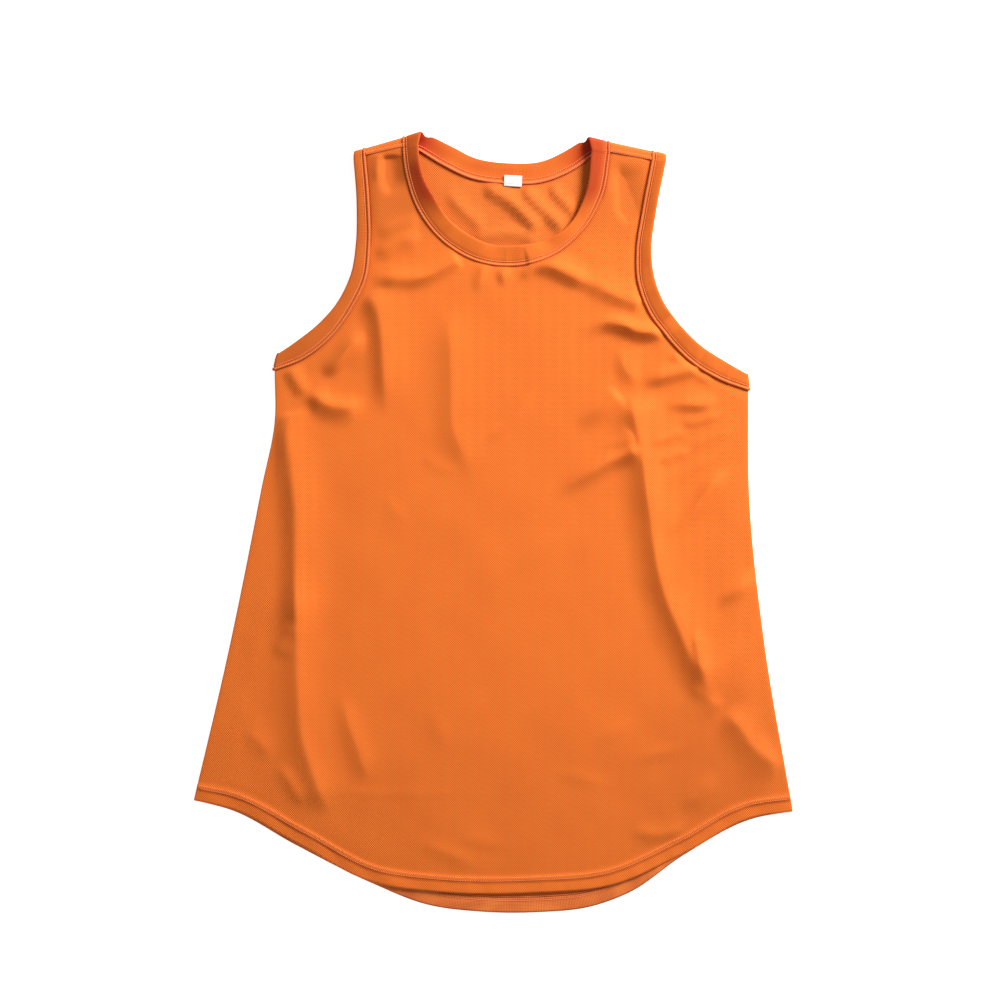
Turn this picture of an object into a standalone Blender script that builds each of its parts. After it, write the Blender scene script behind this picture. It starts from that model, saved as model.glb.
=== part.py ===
"""A running singlet laid flat, front up: two knit panels, three folded bands and a label.

Sizes below are in millimetres. X runs across the garment, -X on the wearer's right.
Y runs from the hem to the shoulders, and Z up from the surface that the garment lies on.
The back panel lies on the surface and turns over at the shoulders, so that the shoulder
seams lie on the front. The front panel lies on the back panel.
"""

import math

import bmesh
import bpy
import numpy as np

MM = 0.001

# Driving sizes.
CLOTH = 1.0            # wall of the knit panels
BAND = 1.6             # wall of a folded band
GAP = 0.3              # room between two pieces at a seam
ROLL = 2.6             # radius of the turn at the shoulders, to the middle of the wall
FRONT_Z = 2.9          # middle of the front panel's wall, where it lies plain
SIDE_Z = 1.9           # the same along the side seams and the hem
BAND_TURN = 1.3        # radius of an armhole band's turn at the underarm
BAND_ARCH = 0.6        # how far a band bows up between its two edges
LABEL_SIZE = (16.5, 10.3, 1.0)
LABEL_PLACE = (17.6, 307.4)
LABEL_TILT = math.radians(-3)
EDGE_REACH = 26.0      # how far in from the sides and the hem the front panel rises
FOLD_END = 0.25        # share of a fold's height that is left at its ends
FOLD_FADE = 4.0        # a fold reaches its full height a quarter of the way along
CREST_POINTS = 30

BACK_Z = CLOTH / 2
SHOULDER_Z = BACK_Z + 2 * ROLL

# Grid steps. A stretch of panel edge and the band sewn to it take the same steps.
ARMHOLE_COLUMNS = 8
STRAP_COLUMNS = 4
NECK_COLUMNS = 12
FRONT_ROWS = 22
BACK_ROWS = 12
STRAP_ROWS = 6
TURN_ROWS = 7
BAND_STEPS = 3

# Side seams, from the hem corner up to the underarm: x, y.
SIDE_SEAMS = {
    "right": [(-269.5, -250.0), (-240.0, -124.0), (-208.5, 31.0), (-196.4, 94.0), (-196.7, 137.4)],
    "left": [(269.5, -260.0), (243.5, -106.0), (230.5, 18.0), (229.3, 119.5)],
}

# Hems, from the wearer's right to the left: x, y.
FRONT_HEM = [
    (-269.5, -250.0), (-236.0, -257.5), (-178.7, -287.4), (-109.0, -323.5), (-50.0, -332.2),
    (37.7, -333.0), (106.0, -326.3), (171.5, -297.7), (234.5, -265.0), (269.5, -260.0),
]
BACK_HEM = [
    (-269.5, -250.0), (-236.0, -259.0), (-178.7, -290.0), (-109.0, -325.0), (-60.0, -344.0),
    (-10.0, -350.6), (40.0, -351.0), (86.5, -346.2), (122.0, -333.5), (171.5, -299.5),
    (234.5, -266.5), (269.5, -260.0),
]

# Armholes, from the underarm to the shoulder seam: the band's seam x, y, its free edge x, y,
# and how far that edge stands up on the front layer.
ARMHOLES = {
    "right": [
        (-196.7, 137.4, -192.8, 152.6, 0.6),
        (-172.0, 147.0, -178.5, 162.3, 0.8),
        (-146.0, 167.5, -157.0, 179.3, 1.0),
        (-127.4, 193.4, -139.5, 199.7, 0.8),
        (-115.5, 218.3, -128.6, 222.7, 0.6),
        (-111.6, 250.0, -123.8, 250.5, 0.5),
        (-112.3, 290.0, -123.1, 289.5, 0.5),
        (-115.6, 330.0, -125.7, 326.5, 0.5),
    ],
    "left": [
        (229.3, 119.5, 227.3, 134.3, 0.6),
        (205.0, 128.4, 208.5, 145.0, 1.6),
        (180.0, 143.4, 187.5, 158.6, 2.6),
        (157.0, 166.6, 168.5, 177.2, 3.4),
        (140.5, 189.5, 153.5, 197.5, 4.0),
        (130.7, 215.6, 144.9, 220.0, 4.4),
        (129.4, 245.2, 142.1, 245.2, 4.6),
        (135.0, 282.0, 146.5, 281.0, 4.4),
        (143.0, 325.5, 155.3, 325.5, 3.6),
    ],
}
ARMHOLE_SPLIT = {"right": 5, "left": 5}      # the row where a strap begins

# Front neck band, wearer's right to left: seam x, y, free edge x, y, and how far it stands up.
FRONT_NECK = [
    (-81.2, 337.9, -67.3, 340.0, 5.0),
    (-78.5, 316.0, -65.2, 317.0, 5.0),
    (-68.0, 283.0, -52.5, 290.5, 4.5),
    (-43.0, 251.5, -34.0, 267.3, 3.2),
    (-10.0, 234.0, -5.5, 251.3, 2.2),
    (22.0, 231.5, 20.0, 249.2, 2.0),
    (55.0, 241.5, 45.5, 253.8, 2.0),
    (82.0, 265.5, 69.0, 268.8, 2.4),
    (97.5, 294.0, 83.0, 296.5, 3.2),
    (104.5, 333.0, 88.0, 335.0, 4.2),
]
FRONT_NECK_SPLIT = (2, 8)                    # rows where the two straps begin

# Back neck band, in the same columns. Its first and last rows come from the front's.
BACK_NECK = [
    (-80.0, 343.5, -62.3, 348.6, 3.4),
    (-66.0, 335.5, -54.0, 346.5, 1.2),
    (-46.5, 323.5, -37.5, 338.6, 0.4),
    (-20.0, 311.0, -15.5, 328.0, 0.0),
    (12.0, 306.2, 12.0, 323.8, 0.0),
    (42.0, 307.0, 40.0, 324.5, 0.0),
    (72.0, 319.0, 63.5, 334.0, 0.4),
    (88.0, 330.5, 76.5, 341.6, 1.2),
    (102.8, 340.0, 83.6, 344.3, 3.4),
]
BACK_NECK_SPLIT = (2, 8)

# Where the shoulders turn over: a point on the outline, and the line's slope.
SHOULDER_FOLDS = {"right": (-115.6, 336.9, 0.287), "left": (140.0, 335.0, -0.216)}

# Largest folds of the front: the crest's start, middle and end x, y, its height, and how far
# it reaches to the wearer's right and left of the crest.
FRONT_FOLDS = [
    (-192, 92, -170, -40, -146, -246, 3.6, 20, 26),
    (118, 122, 150, -50, 238, -222, 4.6, 32, 34),
    (128, 66, 96, 52, 52, 12, 2.0, 20, 20),
    (66, 178, 108, 181, 152, 172, 2.4, 18, 18),
    (26, 240, 66, 228, 98, 204, 2.0, 18, 18),
    (-38, 165, -29, 110, -18, 56, 1.4, 20, 22),
    (-98, 200, -94, 150, -98, 106, 1.8, 18, 20),
    (132, 128, 172, 120, 216, 108, 2.0, 18, 18),
    (-182, 122, -150, 118, -104, 122, 1.6, 18, 18),
    (178, 20, 206, -30, 236, -70, 1.6, 20, 22),
]

# Colour, roughness and metallic value of each finish.
FINISHES = {
    "pique_knit": ((0.89, 0.22, 0.045, 1.0), 0.78, 0.0),
    "jersey_band": ((0.90, 0.24, 0.055, 1.0), 0.70, 0.0),
    "label_tape": ((0.92, 0.90, 0.88, 1.0), 0.60, 0.0),
}


def clear_scene():
    for item in list(bpy.data.objects):
        bpy.data.objects.remove(item, do_unlink=True)


def collection(name):
    group = bpy.data.collections.new(name)
    bpy.context.scene.collection.children.link(group)
    return group


def finish(name):
    colour, roughness, metallic = FINISHES[name]
    material = bpy.data.materials.new(name)
    material.use_nodes = True
    shader = material.node_tree.nodes["Principled BSDF"]
    shader.inputs["Base Color"].default_value = colour
    shader.inputs["Roughness"].default_value = roughness
    shader.inputs["Metallic"].default_value = metallic
    return material


def smooth_step(value):
    share = min(max(value, 0.0), 1.0)
    return share * share * (3 - 2 * share)


def smooth_curve(rows):
    """Return f(row) for a smooth curve through the rows of a table, in all its columns."""
    knots = np.array(rows, dtype=float)
    spans = np.linalg.norm(np.diff(knots[:, :2], axis=0), axis=1)
    places = np.concatenate(([0.0], np.cumsum(spans)))
    slopes = np.gradient(knots, places, axis=0)

    def at(row):
        first = min(max(int(row), 0), len(spans) - 1)
        s = row - first
        pull = spans[first]
        return ((2 * s**3 - 3 * s**2 + 1) * knots[first] + (3 * s**2 - 2 * s**3) * knots[first + 1]
                + (s**3 - 2 * s**2 + s) * pull * slopes[first] + (s**3 - s**2) * pull * slopes[first + 1])

    return at


def even_curve(points):
    """Return f(share) for a smooth curve through the points, share 0 to 1 by length."""
    curve = smooth_curve(points)
    rows = np.linspace(0, len(points) - 1, 20 * len(points))
    line = np.array([curve(row) for row in rows])
    lengths = np.concatenate(([0.0], np.cumsum(np.linalg.norm(np.diff(line, axis=0), axis=1))))
    return lambda share: curve(np.interp(share * lengths[-1], lengths, rows))


def chain(*stretches):
    """Join stretches of curves into one f(share). A stretch is (curve, start, end, steps)."""
    ends = np.cumsum([stretch[3] for stretch in stretches])

    def at(share):
        step = share * ends[-1]
        index = min(int(np.searchsorted(ends, step - 1e-6)), len(stretches) - 1)
        curve, start, end, steps = stretches[index]
        return curve(start + (end - start) * (step - ends[index] + steps) / steps)

    return at


def straight(first, last):
    return lambda share: (1 - share) * np.array(first) + share * np.array(last)


def patch(bottom, top, left, right, u, v):
    """Return the point of a four-sided patch between its edge curves."""
    corners = ((1 - u) * (1 - v) * bottom(0) + u * (1 - v) * bottom(1)
               + (1 - u) * v * top(0) + u * v * top(1))
    return (1 - v) * bottom(u) + v * top(u) + (1 - u) * left(v) + u * right(v) - corners


def fold_y(x, wall):
    """Return how high up the garment the middle of the wall turns over."""
    fold_x, y, slope = SHOULDER_FOLDS["right" if x < 0 else "left"]
    return y + slope * (x - fold_x) - wall / 2


def over_shoulder(x, y):
    """Return the place, on the cloth unrolled, of a point of the back panel seen on the front."""
    turn_y = fold_y(x, CLOTH) - ROLL
    return x, turn_y + math.pi * ROLL + turn_y - y


def rolled(x, y, wall, stand=0.0):
    """Return the point in space of a point on the unrolled back layer, lifted by its stand."""
    low = wall / 2
    radius = (SHOULDER_Z - low) / 2
    turn_y = fold_y(x, wall) - radius
    past = max(y - turn_y, 0.0)
    angle = min(past / radius, math.pi)
    beyond = max(past - math.pi * radius, 0.0)
    return np.array((x, min(y, turn_y) + radius * math.sin(angle) - beyond,
                     low + radius * (1 - math.cos(angle)) + max(stand, 0.0)))


def polyline(curve, count):
    return np.array([curve(share) for share in np.linspace(0, 1, count)])


def fold_rise(x, y):
    """Return how far the front panel's folds lift it at a point."""
    rise = 0.0
    for crest, (height, reach_right, reach_left) in CRESTS:
        away = np.hypot(crest[:, 0] - x, crest[:, 1] - y)
        nearest = int(np.argmin(away))
        run = crest[min(nearest + 1, CREST_POINTS - 1)] - crest[max(nearest - 1, 0)]
        side = run[0] * (y - crest[nearest, 1]) - run[1] * (x - crest[nearest, 0])
        across = 1 - smooth_step(away[nearest] / (reach_right if side < 0 else reach_left))
        along = nearest / (CREST_POINTS - 1)
        fade = smooth_step(FOLD_FADE * along) * smooth_step(FOLD_FADE * (1 - along))
        rise += height * across * (FOLD_END + (1 - FOLD_END) * fade)
    return rise


def front_height(x, y):
    """Return the height of the middle of the front panel's wall."""
    distance = np.min(np.hypot(LOW_EDGES[:, 0] - x, LOW_EDGES[:, 1] - y))
    low = 1 - smooth_step(distance / EDGE_REACH)
    open_arm = smooth_step((y - 70) / 55)
    height = FRONT_Z - (FRONT_Z - SIDE_Z) * low * (1 - open_arm)
    height += fold_rise(x, y) * (1 - low)
    shoulder = smooth_step((y - 240) / 85)
    return height * (1 - shoulder) + SHOULDER_Z * shoulder


def seam_edge(curve):
    return lambda row: curve(row)[0:2]


def free_edge(curve):
    return lambda row: curve(row)[2:]


def back_armhole(side):
    """Return the armhole's rows on the back layer, unrolled, with the turn's own two rows."""
    rows = [(*row[:-1], 0.0) for row in ARMHOLES[side][:-1]]
    seam_x, seam_y, free_x, free_y, stand = ARMHOLES[side][-1]
    turn = (seam_x, fold_y(seam_x, CLOTH) - ROLL, free_x, fold_y(free_x, CLOTH) - ROLL, stand / 4)
    end = (*over_shoulder(seam_x, seam_y + GAP), *over_shoulder(free_x, free_y + GAP), stand)
    return [*rows, turn, end]


def back_neck():
    """Return the back neck's rows, unrolled, from one shoulder seam to the other."""
    def end(row):
        seam_x, seam_y, free_x, free_y, stand = row
        return (*over_shoulder(seam_x, seam_y + GAP), *over_shoulder(free_x, free_y + GAP), stand)

    return [end(FRONT_NECK[0]), *BACK_NECK, end(FRONT_NECK[-1])]


def crest_line(row):
    return polyline(even_curve([row[0:2], row[2:4], row[4:6]]), CREST_POINTS)


SIDES = {side: even_curve(points) for side, points in SIDE_SEAMS.items()}
HEMS = {"front": even_curve(FRONT_HEM), "back": even_curve(BACK_HEM)}
FRONT_ARMHOLES = {side: smooth_curve(rows) for side, rows in ARMHOLES.items()}
BACK_ARMHOLES = {side: smooth_curve(back_armhole(side)) for side in ARMHOLES}
FRONT_NECKLINE = smooth_curve(FRONT_NECK)
BACK_NECKLINE = smooth_curve(back_neck())
CRESTS = [(crest_line(row), row[6:9]) for row in FRONT_FOLDS]
LOW_EDGES = np.vstack([polyline(curve, 80) for curve in (*SIDES.values(), HEMS["front"])])


def armhole_stretches(side, layer, edge_of):
    """Return an armhole edge's stretches: from the underarm to the strap, then up the strap."""
    split = ARMHOLE_SPLIT[side]
    last = len(ARMHOLES[side]) - 1
    if layer == "front":
        edge = edge_of(FRONT_ARMHOLES[side])
        return (edge, 0, split, ARMHOLE_COLUMNS), [(edge, split, last, STRAP_ROWS)]
    edge = edge_of(BACK_ARMHOLES[side])
    return (edge, 0, split, ARMHOLE_COLUMNS), [(edge, split, last, STRAP_ROWS), (edge, last, last + 1, TURN_ROWS)]


def neck_stretches(layer, edge_of):
    """Return a neck edge's stretches: up the right strap, the middle, up the left strap."""
    if layer == "front":
        edge = edge_of(FRONT_NECKLINE)
        low, high = FRONT_NECK_SPLIT
        last = len(FRONT_NECK) - 1
        return ([(edge, low, 0, STRAP_ROWS)], (edge, low, high, NECK_COLUMNS),
                [(edge, high, last, STRAP_ROWS)])
    edge = edge_of(BACK_NECKLINE)
    low, high = BACK_NECK_SPLIT
    last = len(BACK_NECK) + 1
    return ([(edge, low, 1, STRAP_ROWS), (edge, 1, 0, TURN_ROWS)], (edge, low, high, NECK_COLUMNS),
            [(edge, high, last - 1, STRAP_ROWS), (edge, last - 1, last, TURN_ROWS)])


def turned(stretch):
    """Return a stretch run the other way."""
    curve, start, end, steps = stretch
    return curve, end, start, steps


def panel(layer, body_rows, place):
    """Return a panel's mesh: a grid cut away beside and between the straps, laid on its outline."""
    up_right, neck, up_left = neck_stretches(layer, seam_edge)
    low_right, high_right = armhole_stretches("right", layer, seam_edge)
    low_left, high_left = armhole_stretches("left", layer, seam_edge)
    straps = {
        "right": (chain(*high_right), chain(*up_right)),
        "left": (chain(*up_left), chain(*high_left)),
    }
    bases = {side: straight(edges[0](0), edges[1](0)) for side, edges in straps.items()}
    ends = {side: straight(edges[0](1), edges[1](1)) for side, edges in straps.items()}
    top = chain(low_right, (bases["right"], 0, 1, STRAP_COLUMNS), neck,
                (bases["left"], 0, 1, STRAP_COLUMNS), turned(low_left))
    strap_starts = {"right": ARMHOLE_COLUMNS, "left": ARMHOLE_COLUMNS + STRAP_COLUMNS + NECK_COLUMNS}
    strap_rows = sum(stretch[3] for stretch in high_right)
    columns = 2 * (ARMHOLE_COLUMNS + STRAP_COLUMNS) + NECK_COLUMNS
    rows = body_rows + strap_rows

    mesh = bmesh.new()
    bmesh.ops.create_grid(mesh, x_segments=columns, y_segments=rows, size=0.5)

    def is_cut(face):
        middle = face.calc_center_median()
        i = (middle.x + 0.5) * columns
        j = (middle.y + 0.5) * rows
        on_strap = any(start < i < start + STRAP_COLUMNS for start in strap_starts.values())
        return j > body_rows and not on_strap

    bmesh.ops.delete(mesh, geom=[face for face in mesh.faces if is_cut(face)], context="FACES")
    for vert in mesh.verts:
        i = round((vert.co.x + 0.5) * columns)
        j = round((vert.co.y + 0.5) * rows)
        if j <= body_rows:
            x, y = patch(HEMS[layer], top, SIDES["right"], SIDES["left"], i / columns, j / body_rows)
        else:
            side = "right" if i < columns / 2 else "left"
            x, y = patch(bases[side], ends[side], *straps[side],
                         (i - strap_starts[side]) / STRAP_COLUMNS, (j - body_rows) / strap_rows)
        vert.co = place(x, y)
    return mesh


def stations(stretches, place):
    """Return a band's sections along some stretches, as pairs of seam and free edge points."""
    pairs = []
    for seam, free in stretches:
        for step in range(seam[3] + 1):
            share = step / seam[3]
            seam_at = seam[0](seam[1] + (seam[2] - seam[1]) * share)
            free_at = free[0](free[1] + (free[2] - free[1]) * share)
            pair = (place(*seam_at), place(*free_at))
            if not pairs or np.linalg.norm(pair[0] - pairs[-1][0]) > 0.01:
                pairs.append(pair)
    return pairs


def ring(sections):
    """Return a band's mesh: an open cylinder laid on its sections, seam edge to free edge."""
    count = len(sections)
    mesh = bmesh.new()
    bmesh.ops.create_cone(mesh, cap_ends=False, segments=count, radius1=1, radius2=1, depth=1)
    upright = [edge for edge in mesh.edges if abs(edge.verts[0].co.z - edge.verts[1].co.z) > 0.5]
    bmesh.ops.subdivide_edges(mesh, edges=upright, cuts=BAND_STEPS - 1, use_grid_fill=True)
    mesh.verts.ensure_lookup_table()
    start = math.atan2(mesh.verts[0].co.y, mesh.verts[0].co.x)
    for vert in mesh.verts:
        turn = (math.atan2(vert.co.y, vert.co.x) - start) / (2 * math.pi) * count
        seam, free, outward = sections[round(turn) % count]
        across = vert.co.z + 0.5
        width = np.linalg.norm(free - seam)
        lean = abs(free[2] - seam[2]) / width
        room = (GAP + lean * BAND / 2) / width
        share = room + (1 - room) * across
        arch = BAND_ARCH * math.sin(math.pi * share) * outward
        vert.co = (1 - share) * seam + share * free + arch
    return mesh


def solid(name, mesh, wall, material, group):
    """Give an open mesh its wall and put it in the collection as a finished piece."""
    bmesh.ops.scale(mesh, vec=(MM, MM, MM), verts=mesh.verts)
    bmesh.ops.recalc_face_normals(mesh, faces=mesh.faces)
    data = bpy.data.meshes.new(name)
    mesh.to_mesh(data)
    mesh.free()
    data.shade_smooth()
    data.materials.append(material)
    piece = bpy.data.objects.new(name, data)
    group.objects.link(piece)
    shell = piece.modifiers.new("wall", "SOLIDIFY")
    shell.thickness = wall * MM
    shell.offset = 0
    return piece


def build_panels(material, group):
    front = panel("front", FRONT_ROWS, front_point)
    solid("front_panel", front, CLOTH, material, group)
    back = panel("back", BACK_ROWS, lambda x, y: rolled(x, y, CLOTH))
    solid("back_panel", back, CLOTH, material, group)


def front_point(x, y, stand=0.0):
    return np.array((x, y, front_height(x, y) + stand))


def back_band_point(x, y, stand=0.0):
    return rolled(x, y, BAND, stand)


def build_armhole_band(side, material, group):
    """Make one armhole band: up the front, over the shoulder, down the back and round the side."""
    def both(layer):
        low_seam, high_seam = armhole_stretches(side, layer, seam_edge)
        low_free, high_free = armhole_stretches(side, layer, free_edge)
        return list(zip([low_seam, *high_seam], [low_free, *high_free]))

    upward = np.array((0.0, 0.0, 1.0))
    front = stations(both("front"), front_point)
    back = stations(both("back"), back_band_point)
    sections = [(seam, free, upward) for seam, free in front]
    sections += [(seam, free, upward * 0) for seam, free in reversed(back)]
    outward = -1 if side == "right" else 1
    for angle in (45, 90, 135):
        bulge = np.array((outward * BAND_TURN * math.sin(math.radians(angle)), 0, 0))
        share = (1 + math.cos(math.radians(angle))) / 2
        top, low = front[0], back[0]
        sections.append(tuple((1 - share) * top[k] + share * low[k] + bulge for k in (0, 1)) + (upward * 0,))
    solid("armhole_band_" + side, ring(sections), BAND, material, group)


def build_neck_band(material, group):
    """Make the neck band: round the front from one shoulder to the other, and back behind."""
    def both(layer):
        right_seam, seam, left_seam = neck_stretches(layer, seam_edge)
        right_free, free, left_free = neck_stretches(layer, free_edge)

        seams = [*[turned(stretch) for stretch in reversed(right_seam)], seam, *left_seam]
        frees = [*[turned(stretch) for stretch in reversed(right_free)], free, *left_free]
        return list(zip(seams, frees))

    upward = np.array((0.0, 0.0, 1.0))
    front = stations(both("front"), front_point)
    back = stations(both("back"), back_band_point)
    sections = [(seam, free, upward) for seam, free in front]
    sections += [(seam, free, upward * 0) for seam, free in reversed(back)]
    solid("neck_band", ring(sections), BAND, material, group)


def build_label(material, group):
    """Make the folded label, a thin plate with softened edges, lying on the back neck seam."""
    width, depth, wall = LABEL_SIZE
    bpy.ops.mesh.primitive_cube_add(size=1)
    piece = bpy.context.active_object
    piece.name = piece.data.name = "label"
    for vert in piece.data.vertices:
        vert.co = (vert.co.x * width * MM, vert.co.y * depth * MM, vert.co.z * wall * MM)
    piece.location = (LABEL_PLACE[0] * MM, LABEL_PLACE[1] * MM, (BAND + GAP + wall / 2) * MM)
    piece.rotation_euler = (0, 0, LABEL_TILT)
    edge = piece.modifiers.new("soft edge", "BEVEL")
    edge.width = 0.3 * MM
    edge.segments = 2
    piece.data.materials.append(material)
    for other in list(piece.users_collection):
        other.objects.unlink(piece)
    group.objects.link(piece)


def main():
    clear_scene()
    group = collection("running_singlet")
    knit = finish("pique_knit")
    jersey = finish("jersey_band")
    build_panels(knit, group)
    build_neck_band(jersey, group)
    for side in ARMHOLES:
        build_armhole_band(side, jersey, group)
    build_label(finish("label_tape"), group)


main()
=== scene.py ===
# %% [markdown]
# # A running singlet, laid flat
# This lesson dresses a plain CAD model of a knitted running top. The model gives the frame: its size,
# its place and one solid for each piece that a maker would cut. Loading it first means that every
# piece below can be checked against the real size, and that nothing has to be fitted by eye.

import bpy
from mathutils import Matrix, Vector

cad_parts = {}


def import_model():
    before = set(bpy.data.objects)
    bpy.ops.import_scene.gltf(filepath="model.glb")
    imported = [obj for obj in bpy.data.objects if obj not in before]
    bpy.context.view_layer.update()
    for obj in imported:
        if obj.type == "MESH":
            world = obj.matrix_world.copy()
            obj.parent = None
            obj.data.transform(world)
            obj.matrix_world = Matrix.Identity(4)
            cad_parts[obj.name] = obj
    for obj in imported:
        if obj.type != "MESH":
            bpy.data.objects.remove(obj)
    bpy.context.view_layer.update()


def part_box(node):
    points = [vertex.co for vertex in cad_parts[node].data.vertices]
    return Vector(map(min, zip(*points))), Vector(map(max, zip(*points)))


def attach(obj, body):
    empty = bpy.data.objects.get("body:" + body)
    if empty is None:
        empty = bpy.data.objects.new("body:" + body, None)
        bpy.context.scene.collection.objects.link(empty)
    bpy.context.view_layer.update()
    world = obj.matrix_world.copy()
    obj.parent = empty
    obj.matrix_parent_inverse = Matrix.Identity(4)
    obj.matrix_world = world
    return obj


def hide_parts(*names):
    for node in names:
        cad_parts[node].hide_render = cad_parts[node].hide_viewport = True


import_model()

import math

import bmesh
import bpy
import numpy as np
from mathutils import Matrix

MM = 0.001

# %% [markdown]
# ## The cut of the garment
# A singlet is two flat panels and three bands. On the real one the maker marks the seams and edges
# on the cloth, so here a short table holds each of them, in millimetres, with X across and Y from the
# hem to the shoulders. A band is sewn on at its seam edge and folded at its free edge, and the last
# column says how far the free edge stands up, because the bands cup when the top lies flat.

# %% Tables of seams and edges
CLOTH = 1.0            # thickness of a panel's solid
BAND = 1.6             # thickness of a band's solid
ROLL = 2.6             # radius of the turn at the shoulders
GAP = 0.3              # how far apart two sewn pieces stand
FRONT_Z = 2.9          # height of the front's middle, where it lies flat on the back
SIDE_Z = 1.9           # its height at the pressed sides and the hem
SHOULDER_Z = CLOTH / 2 + 2 * ROLL
EDGE_REACH = 26.0      # how far in from a pressed edge the front has risen

SIDE_SEAMS = {
    "right": [(-269.5, -250.0), (-240.0, -124.0), (-208.5, 31.0), (-196.4, 94.0), (-196.7, 137.4)],
    "left": [(269.5, -260.0), (243.5, -106.0), (230.5, 18.0), (229.3, 119.5)],
}
FRONT_HEM = [
    (-269.5, -250.0), (-236.0, -257.5), (-178.7, -287.4), (-109.0, -323.5), (-50.0, -332.2),
    (37.7, -333.0), (106.0, -326.3), (171.5, -297.7), (234.5, -265.0), (269.5, -260.0),
]
BACK_HEM = [
    (-269.5, -250.0), (-236.0, -259.0), (-178.7, -290.0), (-109.0, -325.0), (-60.0, -344.0),
    (-10.0, -350.6), (40.0, -351.0), (86.5, -346.2), (122.0, -333.5), (171.5, -299.5),
    (234.5, -266.5), (269.5, -260.0),
]
# Armholes from the underarm up: seam x, y, free edge x, y, stand.
ARMHOLES = {
    "right": [
        (-196.7, 137.4, -192.8, 152.6, 0.6),
        (-172.0, 147.0, -178.5, 162.3, 0.8),
        (-146.0, 167.5, -157.0, 179.3, 1.0),
        (-127.4, 193.4, -139.5, 199.7, 0.8),
        (-115.5, 218.3, -128.6, 222.7, 0.6),
        (-111.6, 250.0, -123.8, 250.5, 0.5),
        (-112.3, 290.0, -123.1, 289.5, 0.5),
        (-115.6, 330.0, -125.7, 326.5, 0.5),
    ],
    "left": [
        (229.3, 119.5, 227.3, 134.3, 0.6),
        (205.0, 128.4, 208.5, 145.0, 1.6),
        (180.0, 143.4, 187.5, 158.6, 2.6),
        (157.0, 166.6, 168.5, 177.2, 3.4),
        (140.5, 189.5, 153.5, 197.5, 4.0),
        (130.7, 215.6, 144.9, 220.0, 4.4),
        (129.4, 245.2, 142.1, 245.2, 4.6),
        (135.0, 282.0, 146.5, 281.0, 4.4),
        (143.0, 325.5, 155.3, 325.5, 3.6),
    ],
}
ARMHOLE_SPLIT = 5
# Neck bands from the wearer's right to the left, with the same columns.
FRONT_NECK = [
    (-81.2, 337.9, -67.3, 340.0, 5.0),
    (-78.5, 316.0, -65.2, 317.0, 5.0),
    (-68.0, 283.0, -52.5, 290.5, 4.5),
    (-43.0, 251.5, -34.0, 267.3, 3.2),
    (-10.0, 234.0, -5.5, 251.3, 2.2),
    (22.0, 231.5, 20.0, 249.2, 2.0),
    (55.0, 241.5, 45.5, 253.8, 2.0),
    (82.0, 265.5, 69.0, 268.8, 2.4),
    (97.5, 294.0, 83.0, 296.5, 3.2),
    (104.5, 333.0, 88.0, 335.0, 4.2),
]
BACK_NECK = [
    (-80.0, 343.5, -62.3, 348.6, 3.4),
    (-66.0, 335.5, -54.0, 346.5, 1.2),
    (-46.5, 323.5, -37.5, 338.6, 0.4),
    (-20.0, 311.0, -15.5, 328.0, 0.0),
    (12.0, 306.2, 12.0, 323.8, 0.0),
    (42.0, 307.0, 40.0, 324.5, 0.0),
    (72.0, 319.0, 63.5, 334.0, 0.4),
    (88.0, 330.5, 76.5, 341.6, 1.2),
    (102.8, 340.0, 83.6, 344.3, 3.4),
]
NECK_SPLIT = (2, 8)
# Where the shoulders turn over: a point on the outline, and the line's slope.
SHOULDER_FOLDS = {"right": (-115.6, 336.9, 0.287), "left": (140.0, 335.0, -0.216)}
print("rows of seam table", len(FRONT_NECK), len(BACK_NECK), len(ARMHOLES["left"]))

# %% [markdown]
# ## Smooth lines through the tables
# A seam is a smooth line, so each table becomes a curve that runs through its rows. Every curve here
# takes a whole array of places at once, because a cloth mesh has tens of thousands of points and
# numpy works on all of them in one go.

# %% Curves


def smooth_step(value):
    share = np.clip(value, 0.0, 1.0)
    return share * share * (3 - 2 * share)


def lengths_along(line):
    return np.concatenate(([0.0], np.cumsum(np.linalg.norm(np.diff(line, axis=0), axis=1))))


def smooth_curve(rows):
    """Return f(row) for a smooth curve through the rows of a table, in all its columns."""
    knots = np.array(rows, dtype=float)
    places = lengths_along(knots[:, :2])
    spans = np.diff(places)
    slopes = np.gradient(knots, places, axis=0)

    def at(row):
        row = np.asarray(row, dtype=float)
        first = np.clip(row.astype(int), 0, len(spans) - 1)
        s = (row - first)[..., None]
        pull = spans[first][..., None]
        return ((2 * s**3 - 3 * s**2 + 1) * knots[first] + (3 * s**2 - 2 * s**3) * knots[first + 1]
                + (s**3 - 2 * s**2 + s) * pull * slopes[first] + (s**3 - s**2) * pull * slopes[first + 1])

    return at


def even_curve(points):
    """Return f(share) for a smooth curve through the points, share 0 to 1 by length."""
    curve = smooth_curve(points)
    rows = np.linspace(0, len(points) - 1, 20 * len(points))
    lengths = lengths_along(curve(rows)[:, :2])
    return lambda share: curve(np.interp(np.asarray(share) * lengths[-1], lengths, rows))


def even_rows(curve, start, end, step):
    """Return rows from start to end whose points are about a step apart."""
    rows = np.linspace(start, end, 600)
    lengths = lengths_along(curve(rows)[:, :2])
    count = max(int(round(lengths[-1] / step)), 2)
    return np.interp(np.linspace(0, lengths[-1], count + 1), lengths, rows)


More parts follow.
